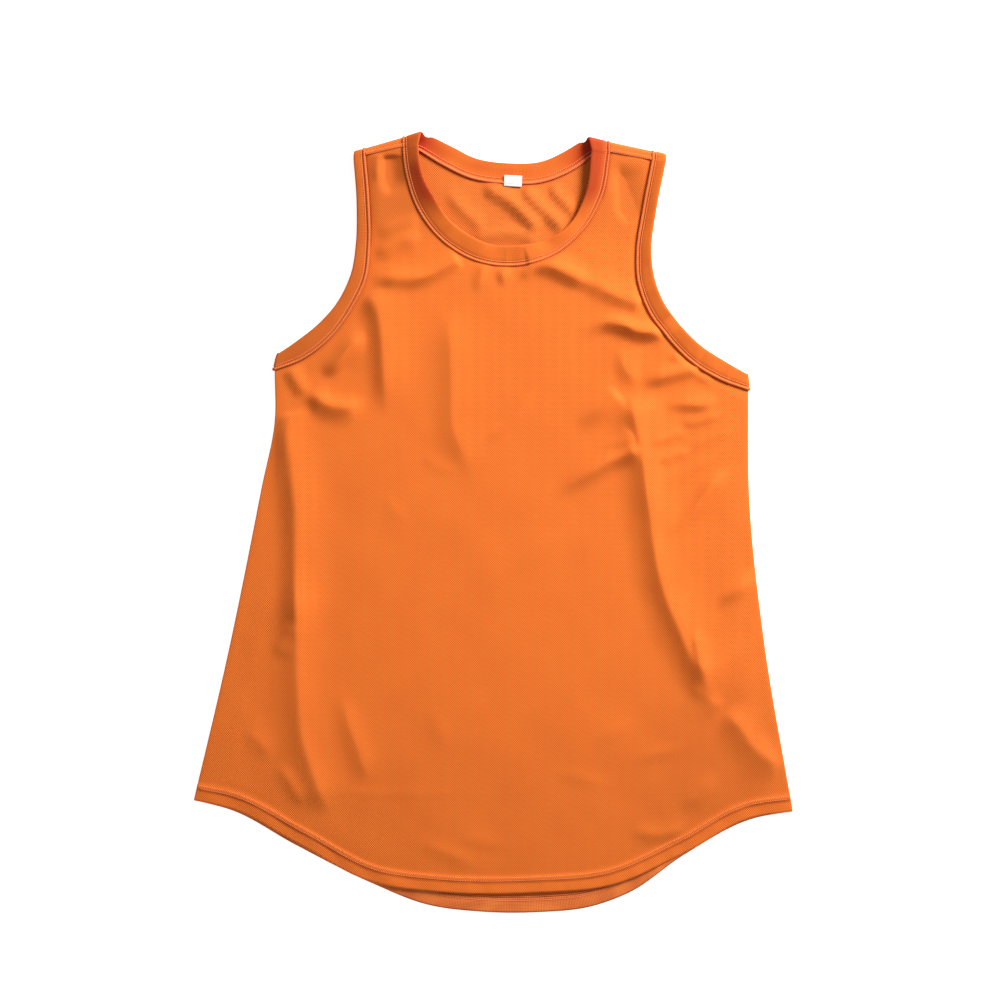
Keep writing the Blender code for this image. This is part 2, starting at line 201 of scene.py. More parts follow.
def chain(*stretches):
    """Join stretches (curve, start, end, steps) into one f(share)."""
    ends = np.cumsum([stretch[3] for stretch in stretches])

    def at(share):
        step = np.asarray(share, dtype=float) * ends[-1]
        index = np.minimum(np.searchsorted(ends, step - 1e-6), len(stretches) - 1)
        place = np.zeros((*step.shape, 2))
        for k, (curve, start, end, steps) in enumerate(stretches):
            row = start + (end - start) * (step - ends[k] + steps) / steps
            place = np.where((index == k)[..., None], curve(row), place)
        return place

    return at


def straight(first, last):
    return lambda share: first + np.asarray(share)[..., None] * (last - first)


def seam_edge(curve):
    return lambda row: curve(row)[..., 0:2]


def cut_line(curve, start, end):
    """Return the seam edge's points in plan, about 3 mm apart."""
    return curve(even_rows(curve, start, end, 3.0))[:, :2]


SIDES = {side: even_curve(points) for side, points in SIDE_SEAMS.items()}
HEMS = {"front": even_curve(FRONT_HEM), "back": even_curve(BACK_HEM)}
print("hem length, mm", {layer: round(lengths_along(curve(np.linspace(0, 1, 200)))[-1])
                         for layer, curve in HEMS.items()})

# %% [markdown]
# ## How the back turns over the shoulders
# The back panel is cut a little longer, so it turns over at the shoulders and its seams lie on the
# front. Rolling a flat point round a small cylinder gives the turn. The cloth keeps its length, which
# is what keeps the knit even across the turn.

# %% The turn at the shoulders


def fold_y(x, wall):
    """Return how high up the garment the middle of the wall turns over."""
    lines = [SHOULDER_FOLDS["right"], SHOULDER_FOLDS["left"]]
    heights = [y + slope * (x - fold_x) for fold_x, y, slope in lines]
    return np.where(np.asarray(x) < 0, heights[0], heights[1]) - wall / 2


def over_shoulder(x, y):
    """Return the place, on the cloth unrolled, of a point of the back panel seen on the front."""
    turn_y = float(fold_y(x, CLOTH)) - ROLL
    return x, turn_y + math.pi * ROLL + turn_y - y


def rolled(x, y, wall, stand=0.0):
    """Return the points in space of points on the unrolled back layer, lifted by their stand."""
    low = wall / 2
    radius = (SHOULDER_Z - low) / 2
    turn_y = fold_y(x, wall) - radius
    past = np.maximum(y - turn_y, 0.0)
    angle = np.minimum(past / radius, math.pi)
    beyond = np.maximum(past - math.pi * radius, 0.0)
    return np.stack([x, np.minimum(y, turn_y) + radius * np.sin(angle) - beyond,
                     low + radius * (1 - np.cos(angle)) + np.maximum(stand, 0.0)], axis=-1)


def back_armhole(side):
    """Return the armhole's rows on the back layer, unrolled, with the turn's own two rows."""
    rows = [(*row[:-1], 0.0) for row in ARMHOLES[side][:-1]]
    seam_x, seam_y, free_x, free_y, stand = ARMHOLES[side][-1]
    turns = [float(fold_y(x, CLOTH)) - ROLL for x in (seam_x, free_x)]
    turn = (seam_x, turns[0], free_x, turns[1], stand / 4)
    end = (*over_shoulder(seam_x, seam_y + GAP), *over_shoulder(free_x, free_y + GAP), stand)
    return [*rows, turn, end]


def back_neck():
    """Return the back neck's rows, unrolled, from one shoulder seam to the other."""
    def end(row):
        seam_x, seam_y, free_x, free_y, stand = row
        return (*over_shoulder(seam_x, seam_y + GAP), *over_shoulder(free_x, free_y + GAP), stand)

    return [end(FRONT_NECK[0]), *BACK_NECK, end(FRONT_NECK[-1])]


ARM_LAST = {side: len(rows) - 1 for side, rows in ARMHOLES.items()}
NECK_LAST = len(FRONT_NECK) - 1
BACK_LAST = len(BACK_NECK) + 1
FRONT_ARMHOLES = {side: smooth_curve(rows) for side, rows in ARMHOLES.items()}
BACK_ARMHOLES = {side: smooth_curve(back_armhole(side)) for side in ARMHOLES}
FRONT_NECKLINE = smooth_curve(FRONT_NECK)
BACK_NECKLINE = smooth_curve(back_neck())
print("the back reaches over to y", round(float(over_shoulder(-81.2, 337.9)[1]), 1), "unrolled")

# %% [markdown]
# ## Folds in the cloth
# A knit top that has been pulled straight still keeps a few long folds and many small dents. Each
# one here is a listed line, with a height and a reach to either side. A line is drawn so
# that its left-hand side is the side that catches the light. A ridge lifts the cloth and a negative
# height makes a trough, and both fade towards their ends as the table's last two columns say.

# %% Tables of folds
# Points of the crest, height, reach on the lit side, reach on the shaded side, fade in, fade out.
FRONT_FOLDS = [
    # The long fold down the wearer's right side, and what it breaks into above the hem.
    ([(-194, 97), (-186, 70), (-181, 40), (-178, 10), (-178, -30), (-177, -77), (-177, -115)],
     6.3, 38, 20, 0.02, 0.3),
    ([(-178, -40), (-177, -77), (-177, -115), (-176, -150), (-173, -190), (-166, -215), (-155, -246),
      (-146, -264)], 5.2, 34, 30, 0.22, 0.12),
    ([(-196, -122), (-188, -106), (-181, -88)], 1.8, 10, 26, 0.3, 0.25),
    ([(-196, -214), (-184, -232), (-170, -256)], 1.8, 12, 14, 0.4, 0.3),
    ([(-226, -186), (-212, -196), (-198, -214)], 1.3, 16, 16, 0.4, 0.4),
    ([(-138, -150), (-131, -178), (-122, -204), (-112, -236)], 2.4, 18, 18, 0.4, 0.25),
    # The wearer's right chest and underarm.
    ([(-113, 206), (-105, 192), (-101, 172), (-99, 145), (-98, 118), (-96, 92)], 5.2, 34, 19, 0.08, 0.4),
    ([(-114, 172), (-130, 156), (-144, 138), (-155, 131)], 5.4, 14, 14, 0.3, 0.3),
    ([(-162, 143), (-149, 132), (-139, 136), (-120, 150)], -2.4, 14, 16, 0.5, 0.4),
    ([(-184, 139), (-175, 124), (-168, 113)], 4.0, 11, 8, 0.02, 0.3),
    ([(-172, 110), (-160, 112), (-146, 105), (-132, 104), (-116, 109)], 6.5, 12, 20, 0.3, 0.3),
    # Folds that hang from the neck seam.
    ([(-112, 219), (-85, 219), (-62, 221), (-45, 229), (-30, 238)], 5.8, 15, 12, 0.3, 0.05),
    ([(-108, 238), (-95, 246), (-80, 254), (-62, 256)], 3.5, 12, 12, 0.3, 0.3),
    ([(30, 234), (50, 231), (72, 221), (92, 212)], 6.5, 18, 12, 0.05, 0.3),
    ([(78, 220), (96, 211), (112, 203), (133, 196)], 4.0, 23, 14, 0.3, 0.05),
    ([(8, 231), (9, 222), (8, 212)], 2.9, 11, 9, 0.02, 0.5),
    ([(-8, 231), (-12, 218), (-18, 206)], 2.1, 11, 9, 0.02, 0.5),
    ([(28, 229), (32, 218)], 2.1, 9, 8, 0.02, 0.5),
    ([(-42, 196), (-38, 150), (-37, 115), (-36, 85), (-27, 60), (-18, 34)], 3.2, 36, 24, 0.25, 0.3),
    ([(38, 122), (18, 94), (2, 80), (-13, 70)], 1.6, 9, 5, 0.3, 0.3),
    ([(-66, 62), (-50, 50), (-30, 44)], 0.7, 8, 7, 0.3, 0.3),
    ([(-98, 28), (-90, 12), (-76, 0)], 0.7, 8, 8, 0.3, 0.3),
    # The wearer's left chest and underarm.
    ([(76, 170), (90, 175), (102, 179), (116, 178), (128, 173), (142, 171), (157, 174)],
     7.2, 13, 11, 0.5, 0.03),
    ([(112, 160), (116, 146), (121, 134), (134, 128)], 2.6, 32, 13, 0.5, 0.3),
    ([(134, 121), (150, 130), (166, 135), (184, 140)], 5.4, 12, 11, 0.4, 0.03),
    ([(158, 145), (174, 150)], 2.5, 7, 5, 0.5, 0.3),
    ([(150, 103), (172, 106), (190, 106), (203, 114)], 3.6, 18, 9, 0.5, 0.3),
    ([(150, 186), (160, 180), (170, 176)], -1.6, 5, 10, 0.1, 0.05),
    ([(140, 196), (150, 190), (160, 187)], 1.2, 6, 6, 0.3, 0.05),
    ([(166, 160), (178, 155), (186, 154)], 1.5, 6, 6, 0.4, 0.03),
    ([(182, 128), (200, 132), (214, 127)], 2.4, 14, 10, 0.3, 0.05),
    ([(170, 62), (190, 74), (214, 84)], 1.0, 9, 8, 0.4, 0.2),
    ([(150, 30), (172, 44), (200, 62)], 1.1, 10, 9, 0.4, 0.3),
    ([(86, 52), (104, 66), (124, 84)], 1.6, 10, 12, 0.5, 0.15),
    # The main fold down the wearer's left side, and its branches.
    ([(121, 118), (127, 95), (131, 75), (135, 50), (138, 25), (141, 5), (145, -25), (150, -50),
      (158, -75), (168, -98), (180, -125), (190, -143), (202, -161)], 7.2, 46, 27, 0.08, 0.1),
    ([(176, -146), (190, -156), (206, -170)], 2.2, 12, 30, 0.3, 0.3),
    ([(206, -170), (218, -180), (234, -202), (246, -212), (262, -219)], 4.4, 24, 30, 0.2, 0.1),
    ([(58, 18), (68, 31), (84, 43), (100, 53), (118, 61), (133, 68)], 6.0, 15, 14, 0.7, 0.12),
    ([(72, 86), (90, 97), (104, 108), (114, 118)], 4.8, 16, 19, 0.6, 0.15),
    ([(92, 66), (110, 71), (128, 77)], 2.0, 8, 8, 0.6, 0.15),
    ([(214, 52), (196, 34), (180, 12), (166, -4), (152, -17)], 4.4, 16, 11, 0.3, 0.6),
    ([(148, 52), (162, 60), (178, 66)], 1.8, 8, 7, 0.3, 0.3),
    ([(140, 70), (158, 77), (176, 84)], 1.6, 8, 7, 0.3, 0.3),
    ([(168, 86), (186, 92), (206, 99)], 2.0, 8, 7, 0.3, 0.3),
    ([(237, -44), (222, -58), (208, -70), (202, -80)], 4.0, 14, 11, 0.02, 0.6),
    ([(180, -94), (183, -112), (186, -128), (194, -142)], 2.8, 18, 5, 0.3, 0.3),
    ([(200, -222), (186, -244), (166, -258)], 1.8, 18, 22, 0.4, 0.4),
    ([(118, -276), (146, -281), (178, -274)], 1.8, 15, 11, 0.4, 0.3),
    # Small dents low in the middle.
    ([(60, -6), (40, -22), (18, -48)], 1.0, 12, 9, 0.4, 0.4),
    ([(88, -200), (108, -190), (130, -178)], 0.9, 12, 10, 0.5, 0.4),
    ([(48, -224), (78, -230), (110, -240)], 0.9, 12, 10, 0.5, 0.4),
    ([(116, -218), (146, -208), (176, -204)], 1.1, 13, 11, 0.5, 0.4),
    ([(-74, -286), (-40, -298), (-8, -312)], 1.2, 15, 13, 0.4, 0.4),
    ([(-44, -284), (-10, -287), (24, -296)], 0.8, 12, 11, 0.4, 0.4),
    ([(-58, -160), (-50, -186), (-40, -210)], 0.8, 14, 12, 0.4, 0.4),
    # A faint press line across, above the hem.
    ([(-151, -243), (-80, -244), (-13, -243)], 0.5, 5, 5, 0.3, 0.3),
    # The straps.
    ([(-97, 331), (-96, 315), (-92, 292)], -5.0, 32, 9, 0.1, 0.4),
    ([(-102, 331), (-103, 318), (-105, 304)], 2.0, 7, 9, 0.1, 0.4),
    ([(-66, 272), (-84, 268), (-106, 258)], 2.0, 16, 11, 0.2, 0.3),
    ([(113, 326), (116, 300), (122, 266)], -4.4, 30, 12, 0.3, 0.3),
]
# The back's folds: where the neck shows them, a faint one at the hem, and soft ones under the front.
BACK_FOLDS = [
    ([(-12, 304), (16, 288), (42, 262)], 4.6, 15, 9, 0.2, 0.1),
    ([(24, 302), (40, 286), (64, 264)], 4.0, 12, 8, 0.2, 0.1),
    ([(50, 303), (62, 290), (76, 276)], 3.0, 9, 7, 0.2, 0.3),
    ([(-44, 300), (-26, 280), (-6, 262)], 2.4, 12, 9, 0.3, 0.2),
    ([(-20, 254), (0, 260), (22, 260), (44, 253)], 3.2, 6, 8, 0.2, 0.2),
    ([(-60, -343), (-20, -342), (30, -343)], 0.3, 5, 5, 0.3, 0.3),
    ([(-120, 60), (-100, -40), (-96, -160)], 0.6, 26, 22, 0.3, 0.3),
    ([(90, 120), (104, 20), (130, -120)], 0.6, 26, 22, 0.3, 0.3),
    ([(-10, 150), (4, 60), (0, -30)], 0.5, 22, 20, 0.3, 0.3),
]
print(len(FRONT_FOLDS), "folds on the front,", len(BACK_FOLDS), "on the back")

# %% [markdown]
# ## From lines to a surface
# To raise a fold, each point of the cloth has to know how far it is from the fold's line, on which
# side, and how far along. The rise is greatest on the line and falls away to both sides.

# %% Distance from a line, and the folds' rise


def beside(x, y, line):
    """Return each point's distance from a line, its side, left 1 or right -1, and its share along."""
    lengths = lengths_along(line)
    best = np.full(np.shape(x), 1e9)
    side = np.ones(np.shape(x))
    along = np.zeros(np.shape(x))
    for k, (start, run) in enumerate(zip(line[:-1], np.diff(line, axis=0))):
        share = np.clip(((x - start[0]) * run[0] + (y - start[1]) * run[1]) / (run @ run), 0, 1)
        off_x = x - start[0] - share * run[0]
        off_y = y - start[1] - share * run[1]
        distance = np.hypot(off_x, off_y)
        nearer = distance < best
        best = np.where(nearer, distance, best)
        side = np.where(nearer, np.where(run[0] * off_y - run[1] * off_x < 0, -1.0, 1.0), side)
        along = np.where(nearer, (lengths[k] + share * (lengths[k + 1] - lengths[k])) / lengths[-1], along)
    return best, side, along


def nearest(x, y, *lines):
    """Return each point's distance from the nearest of some lines."""
    return np.min([beside(x, y, line)[0] for line in lines], axis=0)


CREST_ROUND = 1.6      # a crest is sharp, but for this radius
FADE_LENGTH = 48.0     # no fold takes longer than this to rise or to die away
END_REACH = 0.6        # a fold's ends reach this share of its full reach
HOLLOW = 2.1           # the power that makes a fold's two slopes hollow


def crest(points):
    return even_curve(points)(np.linspace(0, 1, 5 * len(points)))


def fold_rise(x, y, folds):
    """Return how far a table of folds lifts the cloth at each point."""
    rise = np.zeros(np.shape(x))
    for line, height, lit, shaded, fade_in, fade_out in folds:
        away, side, along = beside(x, y, line)
        round_away = np.hypot(away, CREST_ROUND) - CREST_ROUND
        longest = FADE_LENGTH / lengths_along(line)[-1]
        fade = smooth_step(along / min(fade_in, longest)) * smooth_step((1 - along) / min(fade_out, longest))
        reach = np.where(side > 0, lit, shaded) * (END_REACH + (1 - END_REACH) * fade)
        rise += height * fade * (1 - np.clip(round_away / reach, 0, 1)) ** HOLLOW
    return rise


FRONT_CRESTS = [(crest(row[0]), *row[1:]) for row in FRONT_FOLDS]
BACK_CRESTS = [(crest(row[0]), *row[1:]) for row in BACK_FOLDS]
lifted = fold_rise(np.array([143.0]), np.array([-6.0]), FRONT_CRESTS)
print("a point on the long fold is lifted", np.round(lifted, 2))

# %% [markdown]
# ## How high the front lies
# The front lies on the back, rises a little from the pressed sides and hem, and climbs to the turned
# shoulders. Its hem is turned under, so it is thicker there and its edge is round. Beside a sewn
# band the cloth dips into a ditch, because the seam pulls it down. Where the back hangs lower than
# the front, the front's hem lies on it and is lifted, and the hem's thread gathers the cloth into tiny
# waves. One function of x and y holds all of this, so that threads and bands can ask for the same
# surface.

# %% Height of the front
HEM_DEPTH = 13.0
HEM_STEP = 0.55        # a turned hem is this much thicker than the cloth above it
HEM_RIDGE = 0.8        # the sewing at its raw edge stands up this far
HEM_LIFT = 1.5         # how far the back lifts the front's hem
PUCKER = 0.16          # height of the hem's tiny waves
SEAM_DITCH = 0.35      # depth of the ditch beside a band
CALM_SHARE = 0.3       # a fold keeps this share of its height at a band's seam
CALM_REACH = 8.0       # and all of it this far from the seam
ARM_DIP = 1.3          # how far the front sinks, at most, towards the armhole seams
RESTING = 1.9          # no fold or dip takes the middle of the front's wall below this, into the back
LOW_LINES = [SIDES["right"](np.linspace(0, 1, 60)), SIDES["left"](np.linspace(0, 1, 60))]
HEM_LINES = {layer: curve(np.linspace(0, 1, 160)) for layer, curve in HEMS.items()}
NECK_SEAM = cut_line(FRONT_NECKLINE, 0, NECK_LAST)
ARM_SEAMS = [cut_line(FRONT_ARMHOLES[side], 0, ARM_LAST[side]) for side in ARMHOLES]


def swell(x, y):
    """Return the faint unevenness of cloth that lies by itself."""
    return (0.30 * np.sin(x / 17.0 + 1.3 * np.sin(y / 31.0)) * np.sin(y / 23.0 + 0.9 * np.sin(x / 27.0))
            + 0.16 * np.sin(x / 8.3 + 1.1 * np.sin(y / 14.0) + 2.0) * np.sin(y / 10.7 + np.sin(x / 12.0)))


def lie(x, y):
    """Return the height of the front, with its folds but without its seams' own shape."""
    side = nearest(x, y, *LOW_LINES, HEM_LINES["front"])
    low = 1 - smooth_step(side / EDGE_REACH)
    open_arm = smooth_step((y - 70) / 55)
    height = FRONT_Z - (FRONT_Z - SIDE_Z) * low * (1 - open_arm)
    shoulder = smooth_step((y - 240) / 85)
    height = height * (1 - shoulder) + SHOULDER_Z * shoulder
    seam = nearest(x, y, NECK_SEAM, *ARM_SEAMS)
    calm = CALM_SHARE + (1 - CALM_SHARE) * smooth_step(seam / CALM_REACH)
    lifted = height + (fold_rise(x, y, FRONT_CRESTS) * calm + swell(x, y)) * smooth_step(side / 14)
    return np.maximum(lifted, RESTING)


def round_edge(distance, radius, drop):
    """Return how far a rounded edge falls at a distance from the outline."""
    share = 1 - np.clip(distance / radius, 0, 1)
    return -drop * (1 - np.sqrt(1 - 0.98 * share**2))


def front_height(x, y):
    """Return the height of the middle of the front's wall."""
    hem = nearest(x, y, HEM_LINES["front"])
    arms = nearest(x, y, *ARM_SEAMS)
    seams = np.minimum(nearest(x, y, NECK_SEAM), arms)
    height = lie(x, y)
    height += HEM_STEP * (1 - smooth_step((hem - HEM_DEPTH - 0.5) / 2.0))
    height += HEM_RIDGE * np.exp(-((hem - HEM_DEPTH) / 2.0) ** 2)
    height += round_edge(hem, 1.6, 1.1) + round_edge(nearest(x, y, *LOW_LINES), 1.8, 0.9)
    height -= SEAM_DITCH * np.exp(-(seams / 1.8) ** 2)
    height -= np.minimum(ARM_DIP, np.maximum(height - RESTING, 0)) * (1 - np.clip(arms / 11, 0, 1)) ** 2
    over_back = smooth_step((x + 112) / 26) * smooth_step((156 - x) / 26)
    height += HEM_LIFT * over_back * np.exp(-(hem / 11) ** 2)
    waves = np.sin(x / 4.3 + y / 6.0 + 1.6 * np.sin(x / 23)) + 0.7 * np.sin(x / 9.1 + 2.2 * np.sin(x / 31))
    height += PUCKER * waves * smooth_step((HEM_DEPTH - hem) / 4)
    return height


print("front height at the middle, mm", np.round(front_height(np.array([0.0]), np.array([0.0])), 2))

# %% [markdown]
# ## A panel from a grid
# A panel could be modelled point by point, but a grid is quicker and stays even. The grid's lower
# part fills the body, between the hem, the side seams and the armholes. Above it two strips of the
# same grid become the straps, and the faces between and beside them are cut away. More rows and
# columns are drawn in near the edges, where the cloth rounds over.

# %% Grid, patch and panel
BODY_ROWS = {"front": 176, "back": 150}
ARMHOLE_COLUMNS = 42
STRAP_COLUMNS = 18
NECK_COLUMNS = 90
STRAP_ROWS = 50
TURN_ROWS = 14


def patch(bottom, top, left, right, u, v):
    """Return the points of a four-sided patch between its edge curves."""
    zero, one = np.array(0.0), np.array(1.0)
    a, b = u[:, None], v[:, None]
    corners = ((1 - a) * (1 - b) * bottom(zero) + a * (1 - b) * bottom(one)
               + (1 - a) * b * top(zero) + a * b * top(one))
    return (1 - b) * bottom(u) + b * top(u) + (1 - a) * left(v) + a * right(v) - corners


def armhole_stretches(side, layer):
    last = ARM_LAST[side]
    if layer == "front":
        edge = seam_edge(FRONT_ARMHOLES[side])
        return (edge, 0, ARMHOLE_SPLIT, ARMHOLE_COLUMNS), [(edge, ARMHOLE_SPLIT, last, STRAP_ROWS)]
    edge = seam_edge(BACK_ARMHOLES[side])
    return (edge, 0, ARMHOLE_SPLIT, ARMHOLE_COLUMNS), [(edge, ARMHOLE_SPLIT, last, STRAP_ROWS),
                                                       (edge, last, last + 1, TURN_ROWS)]


def neck_stretches(layer):
    low, high = NECK_SPLIT
    if layer == "front":
        edge = seam_edge(FRONT_NECKLINE)
        return ([(edge, low, 0, STRAP_ROWS)], (edge, low, high, NECK_COLUMNS),
                [(edge, high, NECK_LAST, STRAP_ROWS)])
    edge = seam_edge(BACK_NECKLINE)
    return ([(edge, low, 1, STRAP_ROWS), (edge, 1, 0, TURN_ROWS)], (edge, low, high, NECK_COLUMNS),
            [(edge, high, BACK_LAST - 1, STRAP_ROWS), (edge, BACK_LAST - 1, BACK_LAST, TURN_ROWS)])


def turned(stretch):
    curve, start, end, steps = stretch
    return curve, end, start, steps


def finished(name, shape):
    """Turn a shape into a mesh."""
    data = bpy.data.meshes.new(name)
    shape.to_mesh(data)
    shape.free()
    return data


def grid_mesh(name, columns, rows, kept=None):
    """Return a mesh from a grid, and its points' column and row numbers."""
    grid = bmesh.new()
    bmesh.ops.create_grid(grid, x_segments=columns, y_segments=rows, size=0.5)
    if kept is not None:
        cut = []
        for face in grid.faces:
            middle = face.calc_center_median()
            if not kept((middle.x + 0.5) * columns, (middle.y + 0.5) * rows):
                cut.append(face)
        bmesh.ops.delete(grid, geom=cut, context="FACES")
    data = finished(name, grid)
    points = read_points(data)
    return data, np.rint((points[:, 0] + 0.5) * columns), np.rint((points[:, 1] + 0.5) * rows)


def read_points(data):
    points = np.empty(3 * len(data.vertices))
    data.vertices.foreach_get("co", points)
    return points.reshape(-1, 3)


def place_points(data, points, flat):
    """Put a mesh's points in place, in millimetres, and keep their flat places as its UV map."""
    data.vertices.foreach_set("co", (np.asarray(points) * MM).ravel())
    corners = np.empty(len(data.loops), dtype=int)
    data.loops.foreach_get("vertex_index", corners)
    uv = data.uv_layers.new(name="cloth")
    uv.data.foreach_set("uv", (np.asarray(flat)[corners] * MM).ravel())
    data.update()


def face_outwards(data):
    shape = bmesh.new()
    shape.from_mesh(data)
    bmesh.ops.recalc_face_normals(shape, faces=shape.faces)
    shape.to_mesh(data)
    shape.free()


def panel(layer, place):
    """Return a panel's mesh, laid on its outline by place(x, y)."""
    body_rows = BODY_ROWS[layer]
    up_right, neck, up_left = neck_stretches(layer)
    low_right, high_right = armhole_stretches("right", layer)
    low_left, high_left = armhole_stretches("left", layer)
    straps = {"right": (chain(*high_right), chain(*up_right)), "left": (chain(*up_left), chain(*high_left))}
    bases = {side: straight(edges[0](0.0), edges[1](0.0)) for side, edges in straps.items()}
    ends = {side: straight(edges[0](1.0), edges[1](1.0)) for side, edges in straps.items()}
    top = chain(low_right, (bases["right"], 0, 1, STRAP_COLUMNS), neck,
                (bases["left"], 0, 1, STRAP_COLUMNS), turned(low_left))
    starts = {"right": ARMHOLE_COLUMNS, "left": ARMHOLE_COLUMNS + STRAP_COLUMNS + NECK_COLUMNS}
    strap_rows = sum(stretch[3] for stretch in high_right)
    columns = 2 * (ARMHOLE_COLUMNS + STRAP_COLUMNS) + NECK_COLUMNS

    def kept(i, j):
        return j < body_rows or any(start < i < start + STRAP_COLUMNS for start in starts.values())

    data, i, j = grid_mesh(layer + "_panel", columns, body_rows + strap_rows, kept)
    drawn_in = [0, 0.5, 9, columns - 9, columns - 0.5, columns]
    i = np.interp(i, [0, 3, 9, columns - 9, columns - 3, columns], drawn_in)
    v = np.interp(j, [0, 4, 16, body_rows], [0, 0.0035, 0.034, 1])
    flat = patch(HEMS[layer], top, SIDES["right"], SIDES["left"], i / columns, v)
    for side, start in starts.items():
        on_strap = (j > body_rows) & ((i < columns / 2) == (side == "right"))
        u = np.clip((i - start) / STRAP_COLUMNS, 0, 1)
        up = np.clip((j - body_rows) / strap_rows, 0, 1)
        strap = patch(bases[side], ends[side], *straps[side], u, up)
        flat = np.where(on_strap[:, None], strap, flat)
    place_points(data, place(flat[:, 0], flat[:, 1]), flat)
    face_outwards(data)
    return data


# %% [markdown]
# ## Shader maths written as Python
# A cloth finish is mostly arithmetic on a few patterns. Wiring each Math node by hand hides the
# idea, so one small class wraps a socket and gives it Python's own signs. The other class makes a
# material and any node in it.

# %% Link and Finish


class Link:
    """A node's output that Python's signs work on."""

    def __init__(self, finish, socket):
        self.finish = finish
        self.socket = socket

    def sign(self, operation, first, second=0.0):
        return self.finish.node("ShaderNodeMath", {"operation": operation}, {0: first, 1: second})

    def __add__(self, other):
        return self.sign("ADD", self, other)

    def __sub__(self, other):
        return self.sign("SUBTRACT", self, other)

    def __rsub__(self, other):
        return self.sign("SUBTRACT", other, self)

    def __mul__(self, other):
        return self.sign("MULTIPLY", self, other)

    def waves(self, pitch):
        return self.sign("SINE", self * (2 * math.pi / pitch))

    def clipped(self):
        return self.finish.node("ShaderNodeClamp", {}, {0: self})


class Finish:
    """A material with a Principled shader, and the one way to add a node to it."""

    def __init__(self, name, roughness, **constants):
        self.material = bpy.data.materials.new(name)
        self.material.use_nodes = True
        self.nodes = self.material.node_tree.nodes
        self.shader = self.nodes["Principled BSDF"]
        self.set("Roughness", roughness)
        for socket, value in constants.items():
            self.set(socket.replace("_", " "), value)

    def set(self, socket, value):
        target = self.shader.inputs[socket] if isinstance(socket, str) else socket
        if isinstance(value, Link):
            self.material.node_tree.links.new(value.socket, target)
        else:
            target.default_value = value

    def node(self, kind, settings, inputs, output=0):
        """Add a node, with its settings first and then its inputs, and return one of its outputs."""
        made = self.nodes.new(kind)
        for name, value in settings.items():
            setattr(made, name, value)
        for key, value in inputs.items():
            self.set(made.inputs[key], value)
        return Link(self, made.outputs[output])

    def cloth_place(self):
        """Return the place on the flat cloth, in millimetres, across and up."""
        uv = self.node("ShaderNodeUVMap", {"uv_map": "cloth"}, {})
        return [self.node("ShaderNodeSeparateXYZ", {}, {0: uv}, axis) * 1000.0 for axis in (0, 1)]

    def noise(self, scale, detail=2.0):
        place = self.node("ShaderNodeTexCoord", {}, {}, "Object")
        return self.node("ShaderNodeTexNoise", {}, {"Vector": place, "Scale": scale, "Detail": detail}, 0)

    def mix(self, share, first, second):
        """Return a colour between two."""
        return self.node("ShaderNodeMix", {"data_type": "RGBA"}, {0: share, 6: first, 7: second}, 2)

    def mixed_with_painted_shade(self, cloth, number, shade_paint):
        """Return a cloth's colour with a painted shade mixed in, as the number kept at each point says."""
        share = self.node("ShaderNodeAttribute", {"attribute_name": number}, {}, "Fac")
        return self.mix(share, cloth, shade_paint)

    def bump(self, height, distance, strength):
        self.set("Normal", self.node("ShaderNodeBump", {}, {"Strength": strength, "Distance": distance,
                                                            "Height": height}))


def colour(red, green, blue):
    """Return a colour for a socket from the usual 0 to 255 screen values."""
    return tuple(((part / 255 + 0.055) / 1.055) ** 2.4 for part in (red, green, blue)) + (1.0,)


# %% [markdown]
# ## The knit
# The panels are a pique knit: rows of tiny tucks, each row shifted by half a tuck. Two sine waves
# multiplied together give exactly that staggered grid, at the cloth's own pitch of about 2 mm. The
# same pattern feeds the colour and the bump. The UV map holds the flat cloth in metres, so the
# pattern keeps its size and follows the cloth over the shoulders.

# %% Finish: pique knit
TUCK_ACROSS = 1.95
TUCK_UP = 2.15
TUCK_DRIFT = 0.25      # how far the tucks wander off their grid
# Painted shade: a dark line in the ditches beside the bands and under the hem's ridge.
DITCH_PAINTED_SHADE = colour(172, 58, 14)
# Painted shade: on the straps, low down, on the chest and on the bands.
PAINTED_SHADE = colour(66, 30, 12)


def tucks(finish):
    """Return the staggered pattern of a pique knit, -1 to 1."""
    across, up = finish.cloth_place()
    wander = (finish.noise(90.0) - 0.5) * TUCK_DRIFT
    return (across + wander).waves(TUCK_ACROSS) * (up + wander).waves(TUCK_UP)


def knit_finish(name, lit, deep, contrast, soil):
    finish = Finish(name, 0.82, Sheen_Weight=0.25, Sheen_Roughness=0.45, Specular_IOR_Level=0.25)
    finish.set("Sheen Tint", colour(255, 170, 110))
    pattern = tucks(finish)
    patches = finish.noise(22.0, 3.0)
    share = (pattern * (0.5 * contrast) + 0.5 + (patches - 0.5) * soil).clipped()
    # Painted shade in the seams' ditches and under the hem's ridge.
    cloth = finish.mixed_with_painted_shade(finish.mix(share, deep, lit), "ditch", DITCH_PAINTED_SHADE)
    # Painted shade on the straps, low down and on the chest.
    finish.set("Base Color", finish.mixed_with_painted_shade(cloth, "shade", PAINTED_SHADE))
    finish.bump(pattern + finish.noise(500.0) * 0.25, 0.00022, 0.8)
    return finish.material


OUTSIDE = knit_finish("pique_outside", colour(243, 130, 44), colour(204, 80, 17), 1.6, 0.25)
INSIDE = knit_finish("pique_inside", colour(240, 128, 48), colour(184, 74, 16), 1.1, 0.2)
print("knit finishes", OUTSIDE.name, INSIDE.name)

# %% [markdown]
# ## Building the two panels
# A panel is an open sheet with a Solidify modifier for its wall. Two numbers are kept at each point,
# and the finish reads them as painted shade: how strongly the point is darkened in a seam's ditch,
# and a painted shade which is a little on the straps, low down and on one side of the chest.

# %% Front and back panels
PANEL_WALL = 0.8
# How dark the painted shade is at most, 0 to 1.
STRAP_SHADES = {"right": 0.21, "left": 0.17}
LOW_SHADE = 0.05
LOW_LEFT_SHADE = 0.09
CHEST_SHADE = 0.07


